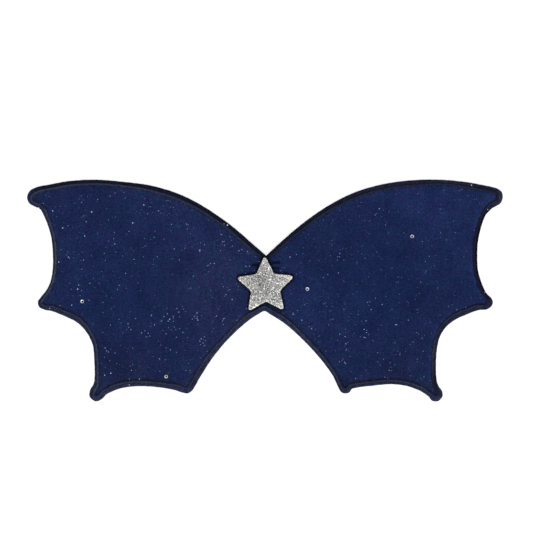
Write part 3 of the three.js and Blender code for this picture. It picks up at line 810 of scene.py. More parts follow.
def ramp(tree, value, stops):
    made = node(tree, "ShaderNodeValToRGB")
    elements = made.color_ramp.elements
    while len(elements) < len(stops):
        elements.new(0.5)
    for element, (position, colour) in zip(elements, stops):
        element.position = position
        element.color = (*colour, 1)
    tree.links.new(value, made.inputs["Fac"])
    return made.outputs["Color"]


def pattern(tree, name):
    row = PATTERNS[name]
    cells = noise(tree, row["cells"], row["detail"], row["rough"], row.get("stretch", (1, 1, 1)))
    return ramp(tree, cells, [(row["low"], row["dark"]), (row["high"], row["light"])])


def mixed(tree, first, second, factor=None):
    """The second colour over the first by the factor, or the two multiplied where there is none."""
    made = node(tree, "ShaderNodeMix", data_type="RGBA", blend_type="MIX" if factor else "MULTIPLY")
    made.inputs[0].default_value = 1
    for index, source in ((0, factor), (6, first), (7, second)):
        if source:
            tree.links.new(source, made.inputs[index])
    return made.outputs[2]


def multiplied(tree, colour, *others):
    """The colour multiplied by others, which are colours or names of patterns."""
    for other in others:
        colour = mixed(tree, colour, pattern(tree, other) if isinstance(other, str) else other)
    return colour


def new_material(name, paint, bumps=((), 0, 0), **sockets):
    """A material whose colour paint makes in its node tree. bumps are their noises, one on top of
    the other, with their height and strength. sockets are the shader's own, with _ for each space
    in their names."""
    material = bpy.data.materials.new(name)
    material.use_nodes = True
    tree = material.node_tree
    shader = tree.nodes["Principled BSDF"]
    for socket, value in sockets.items():
        shader.inputs[socket.replace("_", " ")].default_value = value
    tree.links.new(paint(tree), shader.inputs["Base Color"])
    noises, distance, strength = bumps
    above = shader.inputs["Normal"]
    for row in reversed(noises):
        bump = node(tree, "ShaderNodeBump")
        bump.inputs["Distance"].default_value = distance
        bump.inputs["Strength"].default_value = strength
        tree.links.new(noise(tree, *row), bump.inputs["Height"])
        tree.links.new(bump.outputs["Normal"], above)
        above = bump.inputs["Normal"]
    return material


def velvet_paint(tree):
    """A mottled short pile with faint streaks of the nap. worn leads over to the margin outside the
    stitching, darker by painted shade, and tone says how light each point is, painted light and shade
    included."""
    tone, worn, brushed = (attribute(tree, name) for name in ("tone", "worn", "brushed"))
    levels = ramp(tree, tone, [(0.0, (0, 0, 0)), (1.0, (TONE_TOP,) * 3)])
    colour = multiplied(tree, pattern(tree, "clouds"), levels, ramp(tree, brushed, BRUSHED_SHEEN_STOPS))
    colour = mixed(tree, colour, ramp(tree, tone, MARGIN_STOPS), worn)
    return multiplied(tree, colour, "streaks", "blotches", "specks", "hues")


def toned_paint(stops, *names):
    """Colours that follow each point's tone, multiplied by patterns."""
    return lambda tree: multiplied(tree, ramp(tree, attribute(tree, "tone"), stops), *names)


def plain_material(name, look, *bumps, **sockets):
    return new_material(name, lambda tree: pattern(tree, look), *bumps, **sockets)


VELVET = new_material(
    "navy_velvet", velvet_paint, ([(2600, 2, 0.6), (700, 2, 0.6)], 0.35 * MM, 0.5),
    Roughness=0.95, Specular_IOR_Level=0.02, Sheen_Weight=0.05, Sheen_Roughness=0.4,
    Sheen_Tint=(0.30, 0.42, 1.0, 1),
)
# Charcoal satin thread, slightly cooler or greener from place to place
THREAD = new_material(
    "charcoal_thread", toned_paint(THREAD_STOPS, "thread_hue", "thread_wear", "thread_grain"),
    ([(5000, 1, 0.5)], 0.08 * MM, 0.4), Roughness=0.5, Specular_IOR_Level=0.08,
)
# The black thread of the bar tacks, and the black felt under the star, whose dark outline round the star is
# partly painted shade
BLACK_THREAD, BLACK_FELT = (
    plain_material(name, name, ([(4000, 1, 0.5)], 0.05 * MM, 0.5), Roughness=0.8, Specular_IOR_Level=0.03)
    for name in ("black_thread", "black_felt")
)
ELASTIC = plain_material(
    "black_elastic", "elastic", ([(2500, 2, 0.6)], 0.1 * MM, 0.5), Roughness=0.8, Sheen_Weight=0.1,
)
# A white surface lit from below, so that it shows almost no shadow
LIGHT_TABLE = plain_material(
    "white_light_table", "light_table", Roughness=0.9, Specular_IOR_Level=0.1,
    Emission_Color=(1, 1, 1, 1), Emission_Strength=TABLE_GLOW,
)
# The bed of fine silver dust between the star's larger flakes
STAR_DUST = new_material(
    "silver_dust", lambda tree: ramp(tree, noise(tree, *DUST_NOISE), DUST_STOPS),
    ([DUST_NOISE], 0.3 * MM, 0.8), Metallic=0.35, Roughness=0.5,
)
# Foil flakes, each with its own tone, and the sequins' foil
STAR_FLAKE, DOT_FLAKE, SILVER_FOIL, GOLD_FOIL = (
    new_material(name, toned_paint(stops, "foil_grain"), Metallic=metallic, Roughness=roughness)
    for name, stops, metallic, roughness in (
        ("silver_flakes", SILVER_STOPS, 0.5, 0.42),
        ("glitter_dots", DOT_STOPS, 0.3, 0.4),
        ("silver_sequin", FOIL_STOPS, 0.3, 0.3),
        ("pale_gold_sequin", GOLD_STOPS, 0.3, 0.3),
    )
)
FOILS = {"silver": SILVER_FOIL, "gold": GOLD_FOIL}


# The cloth

def strap_half_spread(across):
    return STRAP_SPREAD / 2 * (STRAP_REACH - across) / (STRAP_REACH - STRAP_INNER)


def lie_of_cloth(places):
    """How high the underside of the cloth lies above the surface, over the straps and beside them."""
    across = np.abs(places[:, 0] - STRAP_MIDDLE[0])
    inside_reach = np.minimum(across, STRAP_REACH)
    above = np.abs(places[:, 1] - STRAP_MIDDLE[1]) - strap_half_spread(inside_reach) - STRAP_WIDTH / 2
    away = np.hypot(np.maximum(0, above), np.maximum(0, across - STRAP_REACH))
    fall = 1 - smooth_step((away - DRAPE_FLAT) / DRAPE_RUN)
    fold_start = STRAP_REACH - STRAP_OVERLAP - STRAP_RAMP
    rise = smooth_step((across - fold_start + DRAPE_FLAT) / STRAP_RAMP)
    return fall * ONE_LAYER * (1 + rise)


def cloth_faces(places, away, along):
    """The heights of the velvet's underside and top, at places inside the stitching that lie so far
    from its middle and so far along it."""
    inwards = np.maximum(0, away - BAND_WIDTH / 2 - BAND_GAP)
    rise = 1 - fading(inwards, LOFT_RUN)
    drift = ripple(np.column_stack([along, along]), **PUCKER_DRIFT)
    pucker = PUCKER_HEIGHT * np.sin(2 * math.pi * along / PUCKER_PITCH + drift)
    pucker = pucker * fading(inwards, PUCKER_RUN) * smooth_step(inwards / PUCKER_START)
    relief = sum(ripple(places, row["length"] * MM, row["height"] * MM, row["seed"]) for row in RELIEF)
    full = CLOTH_UNDER_STITCH + (CLOTH_FULL - CLOTH_UNDER_STITCH) * rise
    lie = lie_of_cloth(places)
    return lie + STITCH_DIMPLE * fading(inwards, LOFT_RUN), lie + full + pucker + rise * relief


def panel_rings():
    """The panel's rings round its edge, from one hidden inside the cloth to another."""
    beside_band = stitch_line + (band_outer - stitch_line) * BESIDE_BAND
    normal = outward(edge_line)
    wobble = ripple_along(lengths_along(edge_line)[:-1], **CUT_WOBBLE)
    rings = []
    for row in MARGIN_RINGS:
        place = edge_line + (beside_band - edge_line) * row["share"]
        place = place - normal * (row["inset"] + (wobble - PILE_OVERHANG) * (1 - row["share"]))[:, None]
        rings.append(raised(place, lie_of_cloth(place) + row["up"]))
    lie = lie_of_cloth(stitch_line)
    under = raised(stitch_line, lie + (STITCH_DIMPLE + HIDDEN_LAP))
    over = raised(stitch_line, lie + (CLOTH_UNDER_STITCH - HIDDEN_LAP))
    return [under, *rings, over]


def lattice_inside(ring, step):
    """A triangular lattice of places over the ring's box, clear of the ring itself."""
    low, high = ring.min(0), ring.max(0)
    places = []
    for row, y in enumerate(np.arange(low[1], high[1], step * math.sqrt(3) / 2)):
        x = np.arange(low[0] + (row % 2) * step / 2, high[0], step)
        places.append(np.column_stack([x, np.full(len(x), y)]))
    places = np.concatenate(places)
    away, _ = Nearest(ring)(places)
    return places[away > LATTICE_CLEAR * step]


def fill(ring, step):
    """Places over the inside of a ring, the ring's own first, and triangles through them."""
    everything = np.concatenate([ring, lattice_inside(ring, step)]) / MM
    rim = list(range(len(ring)))
    found = delaunay_2d_cdt([Vector(p) for p in everything], [], [rim], 1, FILL_TOLERANCE)
    points, triangles = np.array([tuple(p) for p in found[0]]) * MM, np.array(found[2])
    used = np.unique(np.concatenate([rim, triangles.ravel()]))
    renumber = np.full(len(points), -1)
    renumber[used] = np.arange(len(used))
    return points[used], renumber[triangles]


def add_panel():
    """The velvet of both wings in one closed piece, with its margin, seam and two faces."""
    rings = panel_rings()
    count = len(edge_line)
    places, triangles = fill(stitch_line + (band_inner - stitch_line) * BESIDE_BAND, LATTICE)
    away, along = near_stitch(places)
    under, top = (raised(places, up) for up in cloth_faces(places, away, along))
    first_top = len(under) + len(rings) * count
    quads = strips([0, *range(len(under), first_top + 1, count)], count)
    faces = [*quads.tolist(), *triangles[:, ::-1].tolist(), *(triangles + first_top).tolist()]

    rim, margin = edge_tones("rim"), edge_tones("margin")
    shares = [1, *(row["share"] for row in MARGIN_RINGS), 1]
    ring_tones = np.concatenate([margin if share else rim for share in shares])
    top_tones, brushed, near_band = top_looks(places, away)
    grain = np.random.default_rng(SEEDS["grain"]).normal(0, EDGE_GRAIN, len(ring_tones) + len(top))
    ring_tones *= 1 + grain[:len(ring_tones)]
    top_tones *= 1 + grain[len(ring_tones):] * near_band
    # The margin's rings take the margin's colours, with their painted shade
    worn = np.zeros(first_top + len(top))
    worn[len(under) + count:first_top] = 1
    return add_piece(
        "velvet_wings", np.concatenate([under, *rings, top]), faces, VELVET, "velvet", ["wing_panel"],
        tone=np.concatenate([np.full(len(under), 1 / TONE_TOP), ring_tones, top_tones / TONE_TOP]),
        brushed=0.5 + 0.5 * np.concatenate([np.zeros(first_top), brushed]), worn=worn,
    )


panel = add_panel()
panel_tree = BVHTree.FromObject(panel, bpy.context.evaluated_depsgraph_get())


def seats_on_velvet(places):
    """Where places in plan meet the velvet from above: its points, its normals there, and which of
    the places meet it at all."""
    hits = [panel_tree.ray_cast(Vector((x, y, ABOVE_ALL)), Vector((0, 0, -1))) for x, y in places]
    met = np.array([hit[0] is not None for hit in hits])
    points, normals = (np.array([tuple(hit[part]) for hit in hits if hit[0] is not None]) for part in (0, 1))
    return points, normals, met


# The stitching

def ridges(starts, ends, width, heights, depth):
    """Closed ridges, one for each thread, from its start to its end. heights are above the chord
    at even shares of its length, and the foot of each ridge lies depth below them."""
    count, stops = len(starts), heights.shape[1]
    chord = ends - starts
    side = unit(np.column_stack([-chord[:, 1], chord[:, 0], 0 * chord[:, 0]]))
    middle = starts[:, None, :] + chord[:, None, :] * np.linspace(0, 1, stops)[None, :, None]
    middle[:, :, 2] += heights
    foot = middle - np.array([0, 0, depth])
    shift = side[:, None, :] * (np.broadcast_to(width, count) / 2)[:, None, None]
    points = np.stack([foot - shift, foot + shift, middle], axis=2).reshape(-1, 3)
    size = 3 * stops
    caps = [(0, 2, 1), (size - 3, size - 2, size - 1)]
    return points, repeated(strips(range(0, size, 3), 3), size, count) + repeated(caps, size, count)


def uneven(arch, spread, count, draw):
    """The arch once for each thread, each slightly higher or lower."""
    return arch[None, :] * (1 + draw.normal(0, spread, count))[:, None]


def stitch_arch(shares):
    """The height of the stitching across its width, from -1 to 1, as a share of its crest."""
    return 1 - np.asarray(shares) ** 2


def band_core(crest, foot):
    """The rib under the stitches, closed along the whole seam, and its tones."""
    half = (band_outer - band_inner) / 2
    sides = [(share, foot + stitch_arch(share) * (crest - foot)) for share in CORE_SHARES]
    sides += [(share, foot - CORE_DROP) for share in (CORE_SHARES[-1], CORE_SHARES[0])]
    lie = lie_of_cloth(stitch_line)
    points = np.concatenate([raised(stitch_line + half * share, lie + up) for share, up in sides])
    count = len(stitch_line)
    quads = strips([*range(0, len(points), count), 0], count)[:, ::-1]
    return points, quads.tolist(), np.tile(band_tones() * CORE_TONE, len(sides))


def satin_stitches(crest, foot, stops, seed):
    """Satin stitches side by side across the band, each with so many stops from side to side, and
    their tones. crest and foot are heights above the cloth's lie, of the band's middle and edges."""
    draw = np.random.default_rng(seed)
    along = lengths_along(stitch_line)
    at = np.linspace(0, along[-1], int(along[-1] / STITCH_PITCH), endpoint=False)
    inner, outer = (between_points(line, at, along) for line in (band_inner, band_outer))
    count = len(inner)
    lean = unit(np.roll(inner + outer, -1, axis=0) - np.roll(inner + outer, 1, axis=0))
    lean = lean * STITCH_PITCH * STITCH_LEAN
    spare = draw.normal(0, STITCH_SPREAD["end"], (2, count))[:, :, None]
    starts = inner + (inner - outer) * spare[0] - lean
    ends = outer + (outer - inner) * spare[1] + lean
    lie = lie_of_cloth((starts + ends) / 2)
    starts, ends = raised(starts, lie + foot), raised(ends, lie + foot)
    shares = np.linspace(-1, 1, stops)
    heights = uneven(stitch_arch(shares) * (crest - foot), STITCH_SPREAD["height"], count, draw)
    width = STITCH_PITCH * (STITCH_FULLNESS + draw.normal(0, STITCH_SPREAD["width"], count))
    points, faces = ridges(starts, ends, width, heights, THREAD_DEPTH)
    index = np.arange(count) * len(stitch_line) / count
    tones = np.interp(index, np.arange(len(stitch_line)), band_tones())
    wander = ripple_along(np.arange(count) * STITCH_PITCH, EDGE_WANDER_LENGTH, BAND_WANDER, seed)
    # A painted highlight along the crest of the stitches, fading to painted shade on their sides
    off = (np.abs(shares - wander[:, None]) - BAND_PAINTED_HIGHLIGHT["half"]) / (BAND_PAINTED_HIGHLIGHT["reach"] - BAND_PAINTED_HIGHLIGHT["half"])
    tones = tones[:, None] * (1 - smooth_step(off))
    tones = tones * (1 + draw.normal(0, STITCH_SPREAD["tone"], count))[:, None]
    return points, faces, np.repeat(tones.ravel(), 3)


def add_stitching():
    core = band_core(BAND_CREST - THREAD_DEPTH / 2, CLOTH_UNDER_STITCH)
    threads = satin_stitches(BAND_CREST, CLOTH_UNDER_STITCH, STITCH_STOPS["front"], SEEDS["stitches"])
    points, faces, tones = joined([core, threads])
    front = add_piece(
        "satin_stitching", points, faces, THREAD, "satin_thread", ["edge_cording"], smooth=False, tone=tones,
    )
    crest, foot = STITCH_DIMPLE - BACK_THREAD_DROP, STITCH_DIMPLE + BACK_THREAD_FOOT
    points, faces, tones = satin_stitches(crest, foot, STITCH_STOPS["back"], SEEDS["back_stitches"])
    back = add_piece("satin_stitching_back", points, faces, THREAD, "satin_thread", smooth=False, tone=tones)
    return [front, back]


stitching = add_stitching()


# The star

def add_flakes(name, places, normals, radii, tones, tilt, material, slot, seed):
    """Thin six-sided flakes at the places, each turned at random and leaning by up to tilt."""
    draw = np.random.default_rng(seed)
    count = len(places)
    normals = unit(normals + np.tan(tilt) * draw.uniform(-1, 1, (count, 3)))
    first = unit(np.cross(normals, draw.normal(size=(count, 3))))
    second = np.cross(normals, first)
    angle = np.linspace(0, 2 * math.pi, FLAKE_SIDES, endpoint=False)[None, :, None]
    rim = first[:, None, :] * np.cos(angle) + second[:, None, :] * np.sin(angle)
    rim = places[:, None, :] + rim * radii[:, None, None]
    thick = normals[:, None, :] * (FLAKE_THICK * radii)[:, None, None]
    points = np.concatenate([rim, places[:, None, :] + thick, places[:, None, :] - thick], axis=1)
    faces = []
    for side in range(FLAKE_SIDES):
        ahead = (side + 1) % FLAKE_SIDES
        faces += [(side, ahead, FLAKE_SIDES), (ahead, side, FLAKE_SIDES + 1)]
    size = FLAKE_SIDES + 2
    add_piece(
        name, points.reshape(-1, 3), repeated(faces, size, count), material, slot, smooth=False,
        tone=np.repeat(tones, size),
    )


def layer(line, rows, step, crown):
    """A closed piece with the outline of line. rows are its sides from below, drawn in by inset at
    the height up. crown gives the height of its top from the distance to the last row, and its
    underside is flat."""
    normal = outward(line)
    rings = [raised(line - normal * row["inset"], row["up"]) for row in rows]
    places, triangles = fill(rings[-1][:, :2], step)
    count = len(line)
    inner = places[count:]
    away, _ = Nearest(rings[-1][:, :2])(inner)
    under, top = raised(inner, rows[0]["up"]), raised(inner, crown(away))
    first_under = count * len(rings)
    quads = strips(range(0, first_under, count), count)
    on_rim = triangles < count
    on_top = np.where(on_rim, triangles + first_under - count, triangles - count + first_under + len(inner))
    below = np.where(on_rim, triangles, triangles - count + first_under)[:, ::-1]
    return np.concatenate([*rings, under, top]), [*quads.tolist(), *on_top.tolist(), *below.tolist()]


def add_star():
    """The star's felt backing, whose dark edge round the silver is partly painted shade, and its padded
    silver top, which is given.
    """
    low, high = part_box("star")
    backing_top = low.z + STAR_BACKING
    rows = table(
        "inset up",
        (0.15 * MM, low.z),
        (0, low.z + 0.3 * MM),
        (0.05 * MM, low.z + 1.0 * MM),
        (0.3 * MM, backing_top),
    )
    shape = layer(star_line, rows, STAR_BACKING_LATTICE, lambda away: backing_top)
    add_piece("star_backing", *shape, BLACK_FELT, "silver_glitter")
    rim, crown = high.z - STAR_CROWN, STAR_CROWN - FLAKE_ROOM
    rows = table(
        "inset up",
        (STAR_SILVER_INSET + 0.1 * MM, backing_top - 0.1 * MM),
        (STAR_SILVER_INSET, backing_top + 0.35 * MM),
        (STAR_SILVER_INSET + 0.12 * MM, backing_top + 0.75 * MM),
        (STAR_SILVER_INSET + 0.45 * MM, rim - 0.25 * MM),
        (STAR_SILVER_INSET + 1.0 * MM, rim),
    )
    shape = layer(
        star_line, rows, STAR_LATTICE, lambda away: rim + crown * (1 - fading(away, STAR_CROWN_RUN)),
    )
    return add_piece("silver_star", *shape, STAR_DUST, "silver_glitter", ["star"])


def surface_places(piece, count, draw):
    """Random points all over a piece's surface but its underside, with their normals."""
    shape = bmesh.new()
    shape.from_mesh(piece.data)
    bmesh.ops.triangulate(shape, faces=shape.faces)
    faces = [face for face in shape.faces if face.normal.z > -STAR_FACE_LEAN]
    corners = np.array([[tuple(vertex.co) for vertex in face.verts] for face in faces])
    normals = np.array([tuple(face.normal) for face in faces])
    areas = np.array([face.calc_area() for face in faces])
    shape.free()
    chosen = draw.choice(len(faces), count, p=areas / areas.sum())
    shares = draw.dirichlet((1, 1, 1), count)
    return np.einsum("ij,ijk->ik", shares, corners[chosen]), normals[chosen]


def add_star_flakes(silver):
    """Flakes all over the silver, lighter towards the tips, with a painted highlight at the rim and painted
    light on its upper right side.
    """
    draw = np.random.default_rng(SEEDS["star"])
    points, normals = surface_places(silver, STAR_FLAKES, draw)
    from_rim, _ = Nearest(star_line - outward(star_line) * STAR_SILVER_INSET)(points[:, :2])
    from_middle = points[:, :2] - (star_line.min(0) + star_line.max(0)) / 2
    out = np.minimum(1, lengths(from_middle) / STAR_TIP_REACH)
    tones = STAR_TONES["middle"] + STAR_TONES["tips"] * out ** 2
    # A painted highlight at the rim, and painted light on the side of the upper and the right arm
    tones += STAR_TONES["rim"] * fading(from_rim, STAR_RIM_RUN)
    tones += STAR_TONES["side"] * np.maximum(0, from_middle @ STAR_PAINTED_LIGHT_SIDE / STAR_TIP_REACH)
    tones += draw.normal(0, STAR_TONES["spread"], STAR_FLAKES)
    bright = draw.random(STAR_FLAKES) < STAR_BRIGHT_SHARE
    tones = np.where(bright, draw.uniform(*STAR_BRIGHT_TONES, STAR_FLAKES), np.clip(tones, 0, 1))
    radii = np.minimum(draw.uniform(*STAR_FLAKE_RADII, STAR_FLAKES), from_rim + STAR_PAST_RIM)
    radii = np.where(normals[:, 2] > STAR_FACE_LEAN, radii, STAR_SIDE_RADIUS)
    points += normals * draw.uniform(*STAR_FLAKE_LIFTS, STAR_FLAKES)[:, None]
    tilt = np.radians(np.where(from_rim > STAR_RIM_WIDTH, STAR_TILTS["inside"], STAR_TILTS["rim"]))[:, None]
    add_flakes(
        "silver_star_flakes", points, normals, radii, tones, tilt, STAR_FLAKE, "silver_glitter",
        SEEDS["star_flakes"],
    )


silver_star = add_star()
add_star_flakes(silver_star)


# The glitter dots on the velvet

def inside(line, places):
    """Which places lie within a closed line."""
    crossings = np.zeros(len(places), int)
    for start, end in zip(line, np.roll(line, -1, axis=0)):
        spans = (start[1] > places[:, 1]) != (end[1] > places[:, 1])
        share = (places[:, 1] - start[1]) / (end[1] - start[1] + NEVER_LEVEL)
        across = start[0] + share * (end[0] - start[0])
        crossings += spans & (places[:, 0] < across)
    return crossings % 2 == 1


def spaced(places, count):
    """The first so many of the places that lie clear of those before them."""
    kept = places[:1]
    for place in places[1:]:
        if len(kept) < count and lengths(kept - place).min() > DOT_SPACING:
            kept = np.vstack([kept, place])
    return kept


def scattered_dots(row):
    """Random dots on one wing, thicker in some patches than in others, clear of seam and star, and
    their tones."""
    draw = np.random.default_rng(row["seed"])
    places = draw.uniform(stitch_line.min(0), stitch_line.max(0), (DOT_TRIES * row["count"], 2))
    places = places[np.sign(places[:, 0]) == row["side"]]
    thick = sum(
        ripple(places, wave["length"] * MM, wave["height"], row["seed"] + wave["seed"])
        for wave in DOT_THICKNESS
    )
    thick += sum(patch["more"] * near_pixel(places, patch) for patch in DOT_PATCHES)
    places = places[thick + draw.normal(0, DOT_CHANCE, len(places)) > 0]
    places = places[inside(stitch_line, places) & ~inside(star_line, places)]
    away, _ = near_stitch(places)
    places = spaced(places[away > BAND_WIDTH / 2 + DOT_FROM_BAND], row["count"])
    return places, np.clip(draw.exponential(row["glint"], len(places)), FAINTEST_DOT, row["most"])


def grouped_dots():
    draw = np.random.default_rng(SEEDS["groups"])
    places = np.repeat([at_pixel(*pixel) for pixel in DOT_GROUPS], DOTS_IN_GROUP, axis=0)
    places += draw.normal(0, GROUP_REACH, places.shape)
    return places, draw.uniform(*GROUP_TONES, len(places))


def bright_dots():
    tones = BRIGHT_TONES["first"] - BRIGHT_TONES["fall"] * np.linspace(0, 1, len(BRIGHT_DOTS))
    return np.array([at_pixel(*pixel) for pixel in BRIGHT_DOTS]), tones


def add_dots():
    draw = np.random.default_rng(SEEDS["dots"])
    sets = [*(scattered_dots(row) for row in DOT_ROWS), grouped_dots(), bright_dots()]
    places, tones = (np.concatenate(parts) for parts in zip(*sets))
    spread = draw.uniform(*(end * MM for end in DOT_RADIUS["random"]), len(places))
    radii = (DOT_RADIUS["least"] + DOT_RADIUS["by_tone"] * tones) * MM + spread
    places = np.concatenate([places, [at_pixel(row["x"], row["y"]) for row in SET_DOTS]])
    tones = np.concatenate([tones, [row["tone"] for row in SET_DOTS]])
    radii = np.concatenate([radii, [row["radius"] * MM for row in SET_DOTS]])
    points, normals, met = seats_on_velvet(places)
    points[:, 2] += DOT_LIFT
    add_flakes(
        "glitter_dots", points, normals, radii[met], tones[met], DOT_TILT, DOT_FLAKE, "velvet",
        SEEDS["dot_flakes"],
    )


add_dots()


# The loose sequins

def sequin_shape(row, centre, axis, radius, seed):
    """A cup sequin: a thin dish with soft facets and a hole, open towards the axis. Its tones paint shade
    round the hole and at the rim, a highlight across the dish and on the side at its heading, and facets
    alternately lighter and darker.
    """
    draw = np.random.default_rng(seed)
    turn = Vector((0, 0, 1)).rotation_difference(Vector(axis).normalized()).to_matrix()
    turn = turn @ Matrix.Rotation(draw.uniform(0, SEQUIN_TURN), 3, "Z")
    points, tones = [], []
    for ring in SEQUIN_PROFILE:
        for angle in np.arange(SEQUIN_SIDES) * 2 * math.pi / SEQUIN_SIDES:
            facet = math.cos(SEQUIN_FACETS * angle)
            reach = ring["out"] * (1 - SEQUIN_FACET_DEPTH * ring["out"] * facet)
            place = turn @ Vector((reach * math.cos(angle), reach * math.sin(angle), ring["up"])) * radius
            points.append(tuple(place + Vector(centre)))
            from_heading = math.atan2(place.y, place.x) - math.radians(row["heading"])
            shine = 1 + row["shine"] * math.cos(row["sides"] * from_heading)
            tones.append(min(1, ring["tone"] * row["level"] * shine * (1 - SEQUIN_FACET_TONE * facet)))
    faces = strips([*range(0, len(points), SEQUIN_SIDES), 0], SEQUIN_SIDES)
    return np.array(points), faces.tolist(), tones


def add_sequins():
    for index, row in enumerate(SEQUIN_ROWS):
        low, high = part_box(row["node"])
        centre = ((low.x + high.x) / 2, (low.y + high.y) / 2, low.z + SEQUIN_LIFT)
        _, normals, _ = seats_on_velvet([centre[:2]])
        points, faces, tones = sequin_shape(row, centre, normals[0], (high.x - low.x) / 2, index)
        foil = FOILS[row["foil"]]
        add_piece(row["node"] + "_foil", points, faces, foil, "sequin_foil", [row["node"]], tone=tones)


add_sequins()


# The bar tacks, which hold the arm loops

def add_tacks(name, lines, seat, face, seed):
    """Dense bars of short black threads, side by side across lines of (start, end, height) in plan.
    seat gives the places of their ends."""
    draw = np.random.default_rng(seed)
    shapes = []
    for start, end, height in lines:
        count = round(lengths(end - start) / TACK_PITCH)
        along = (end - start) / lengths(end - start)
        across = np.array([-along[1], along[0]])
        share = ((np.arange(count) + 0.5) / count)[:, None]
        spread = along * draw.normal(0, TACK_SPREAD["place"], count)[:, None]
        middle = start + (end - start) * share + spread
        reach = height / 2 * (1 + draw.normal(0, TACK_SPREAD["length"], count))[:, None]
        half = across * reach + along * TACK_SLANT
        heights = uneven(TACK_ARCH * face["rise"], TACK_SPREAD["height"], count, draw)
        shapes.append(ridges(seat(middle - half), seat(middle + half), TACK_THREAD, heights, face["depth"]))
    add_piece(name, *joined(shapes), BLACK_THREAD, "satin_thread", smooth=False)


add_tacks("bar_tacks", TACK_LINES, lambda at: seats_on_velvet(at)[0], TACK_TOP, SEEDS["tacks"])


# The cut edge

def add_fray():
    """Short pile that stands out all round the cut edge, in thin pyramids, in the margin's darkest painted
    shade.
    """
    draw = np.random.default_rng(SEEDS["fray"])
    along = lengths_along(edge_line)
    at = draw.uniform(0, along[-1], FRAY_COUNT)
    place, out = (between_points(values, at, along) for values in (edge_line, outward(edge_line)))
    side = np.column_stack([-out[:, 1], out[:, 0]])
    length = draw.exponential(FRAY_LENGTHS["usual"], FRAY_COUNT) + FRAY_LENGTHS["least"]
    length = PILE_OVERHANG + np.minimum(FRAY_LENGTHS["most"], length)
    up = lie_of_cloth(place) + draw.uniform(*FRAY_HEIGHTS, FRAY_COUNT)
    root = raised(place + out * (PILE_OVERHANG - FRAY_ROOT), up)
    lean = draw.normal(0, FRAY_LEAN, FRAY_COUNT)
    tip = raised(place + out * length[:, None] + side * (lean * length)[:, None], up)
    tip[:, 2] += draw.normal(0, FRAY_RISE, FRAY_COUNT) * length
    tip[:, 2] = np.maximum(tip[:, 2], FRAY_LOWEST)
    wide = raised(side, 0) * FRAY_THICK
    thick = np.array([0, 0, FRAY_THICK])
    points = np.stack([root - wide - thick, root + wide - thick, root + thick, tip], axis=1).reshape(-1, 3)
    faces = repeated([(0, 2, 1), (1, 3, 0), (2, 3, 1), (0, 3, 2)], 4, FRAY_COUNT)
    return add_piece(
        "frayed_edge", points, faces, VELVET, "velvet", smooth=False,
        tone=np.zeros(len(points)), worn=np.ones(len(points)),
    )


fray = add_fray()


# The straps

def tape_path():
    """The middle line of a folded strap in short steps, from one sewn end round the fold to the other:
    how far from the middle, how high, and from 1 to -1 to which side of the loop."""
    turn = ONE_LAYER / 2
    low = STRAP_THICK / 2
    fold = STRAP_REACH - turn - low
    out = np.arange(STRAP_INNER, fold, TAPE_STEP)
    angle = np.linspace(-math.pi / 2, math.pi / 2, TAPE_FOLD_STEPS)
    down = smooth_step((out[::-1] - STRAP_REACH + STRAP_OVERLAP + STRAP_RAMP) / STRAP_RAMP)
    along = np.concatenate([out, fold + turn * np.cos(angle), out[::-1]])
    up = np.concatenate([0 * out, turn * (1 + np.sin(angle)), ONE_LAYER * down]) + low
    run = np.concatenate([0 * out + 1, -np.sin(angle), 0 * out - 1])
    return along, up, run


def tape_section(travelled):
    """The elastic's section at each distance along it: rounded edges, and ribs on both faces. Gives
    places across the tape and through its thickness, those of the upper face first."""
    rounding = STRAP_THICK / 4
    half = STRAP_WIDTH / 2
    count = TAPE_RIBS * TAPE_RIB_POINTS + 1
    across = np.linspace(rounding - half, half - rounding, count)
    share = np.linspace(0, TAPE_RIBS, count)
    groove = 1 - np.abs(np.sin(math.pi * share))
    phase = 2 * math.pi * travelled[:, None] / TAPE_BRAID_PITCH + math.pi * np.floor(share)[None, :]
    braid = TAPE_BRAID_SHARE * (1 - np.cos(phase)) / 2
    face = STRAP_THICK / 2 - TAPE_RIB_DEPTH * np.maximum(groove[None, :], braid)
    edge = np.zeros((len(travelled), 1))
    thick = np.concatenate([face, edge, -face[:, ::-1], edge], axis=1)
    return np.concatenate([across, [half], across[::-1], [-half]]), thick


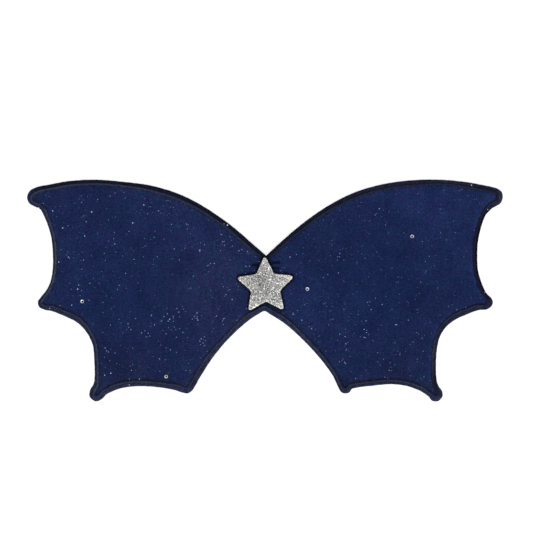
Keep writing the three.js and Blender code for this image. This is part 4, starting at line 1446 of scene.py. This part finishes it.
def add_strap(name, side):
    """One arm loop of ribbed elastic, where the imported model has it."""
    along, up, run = tape_path()
    spread = run * strap_half_spread(np.minimum(along, STRAP_REACH))
    lean = np.arctan2(np.gradient(up), np.gradient(along))[:, None]
    steps = np.hypot(np.diff(along), np.diff(up))
    across, thick = tape_section(np.concatenate([[0], np.cumsum(steps)]))
    points = np.stack([
        STRAP_MIDDLE[0] + side * (along[:, None] - np.sin(lean) * thick),
        STRAP_MIDDLE[1] + spread[:, None] + across[None, :] + 0 * thick,
        up[:, None] + np.cos(lean) * thick,
    ], axis=2)
    rings, around = points.shape[:2]
    last = around * (rings - 1)
    upper = np.arange(around // 2 - 1)
    lower = around - 2 - upper
    cap = np.stack([upper, upper + 1, lower - 1, lower], axis=1).tolist()
    cap += [[around // 2 - 2, around // 2 - 1, around // 2], [around - 2, around - 1, 0]]
    faces = strips(range(0, last + 1, around), around)[:, ::-1].tolist()
    faces += [*cap, *([last + index for index in face[::-1]] for face in cap)]
    faces = faces if side > 0 else [face[::-1] for face in faces]
    add_piece(name + "_tape", points.reshape(-1, 3), faces, ELASTIC, "elastic", [name])


def under_tack_lines():
    """The undersides of the bar tacks, at the four ends of the straps."""
    out = STRAP_INNER + UNDER_TACK_INSET + np.array([0, UNDER_TACK_LENGTH])
    for side, run in ((-1, -1), (-1, 1), (1, -1), (1, 1)):
        ends = STRAP_MIDDLE + np.column_stack([side * out, run * strap_half_spread(out)])
        yield *ends, UNDER_TACK_HEIGHT


add_strap("strap_left", -1)
add_strap("strap_right", 1)
add_tacks(
    "bar_tacks_back", under_tack_lines(), lambda at: raised(at, UNDER_TACK_LEVEL), TACK_BACK,
    SEEDS["under_tacks"],
)


# The surface that it lies on, and the light

def add_floor():
    corners = FLOOR_HALF * np.array([(-1, -1), (1, -1), (1, 1), (-1, 1)])
    points = raised(corners, FLOOR_HEIGHT)
    mesh_object("white_light_table", points, [(0, 1, 2, 3)], LIGHT_TABLE, False)


def add_light(name, azimuth, elevation, distance, size, power):
    """A large soft light that looks at the wings' middle."""
    data = bpy.data.lights.new(name, "AREA")
    data.shape = "DISK"
    data.size = size
    data.energy = power
    light = new_object(name, data)
    azimuth, elevation = math.radians(azimuth), math.radians(elevation)
    aside = math.cos(elevation)
    towards = Vector((aside * math.cos(azimuth), aside * math.sin(azimuth), math.sin(elevation)))
    light.location = towards * distance
    light.rotation_euler = towards.to_track_quat("Z", "Y").to_euler()


def add_world(strength):
    world = bpy.data.worlds.new("studio")
    world.use_nodes = True
    background = world.node_tree.nodes["Background"]
    background.inputs["Color"].default_value = (1, 1, 1, 1)
    background.inputs["Strength"].default_value = strength
    bpy.context.scene.world = world


add_floor()
add_light("key", **KEY_LIGHT)
add_world(WORLD_LIGHT)
bpy.context.scene.view_settings.view_transform = "Standard"

enclosed_area(edge_line)
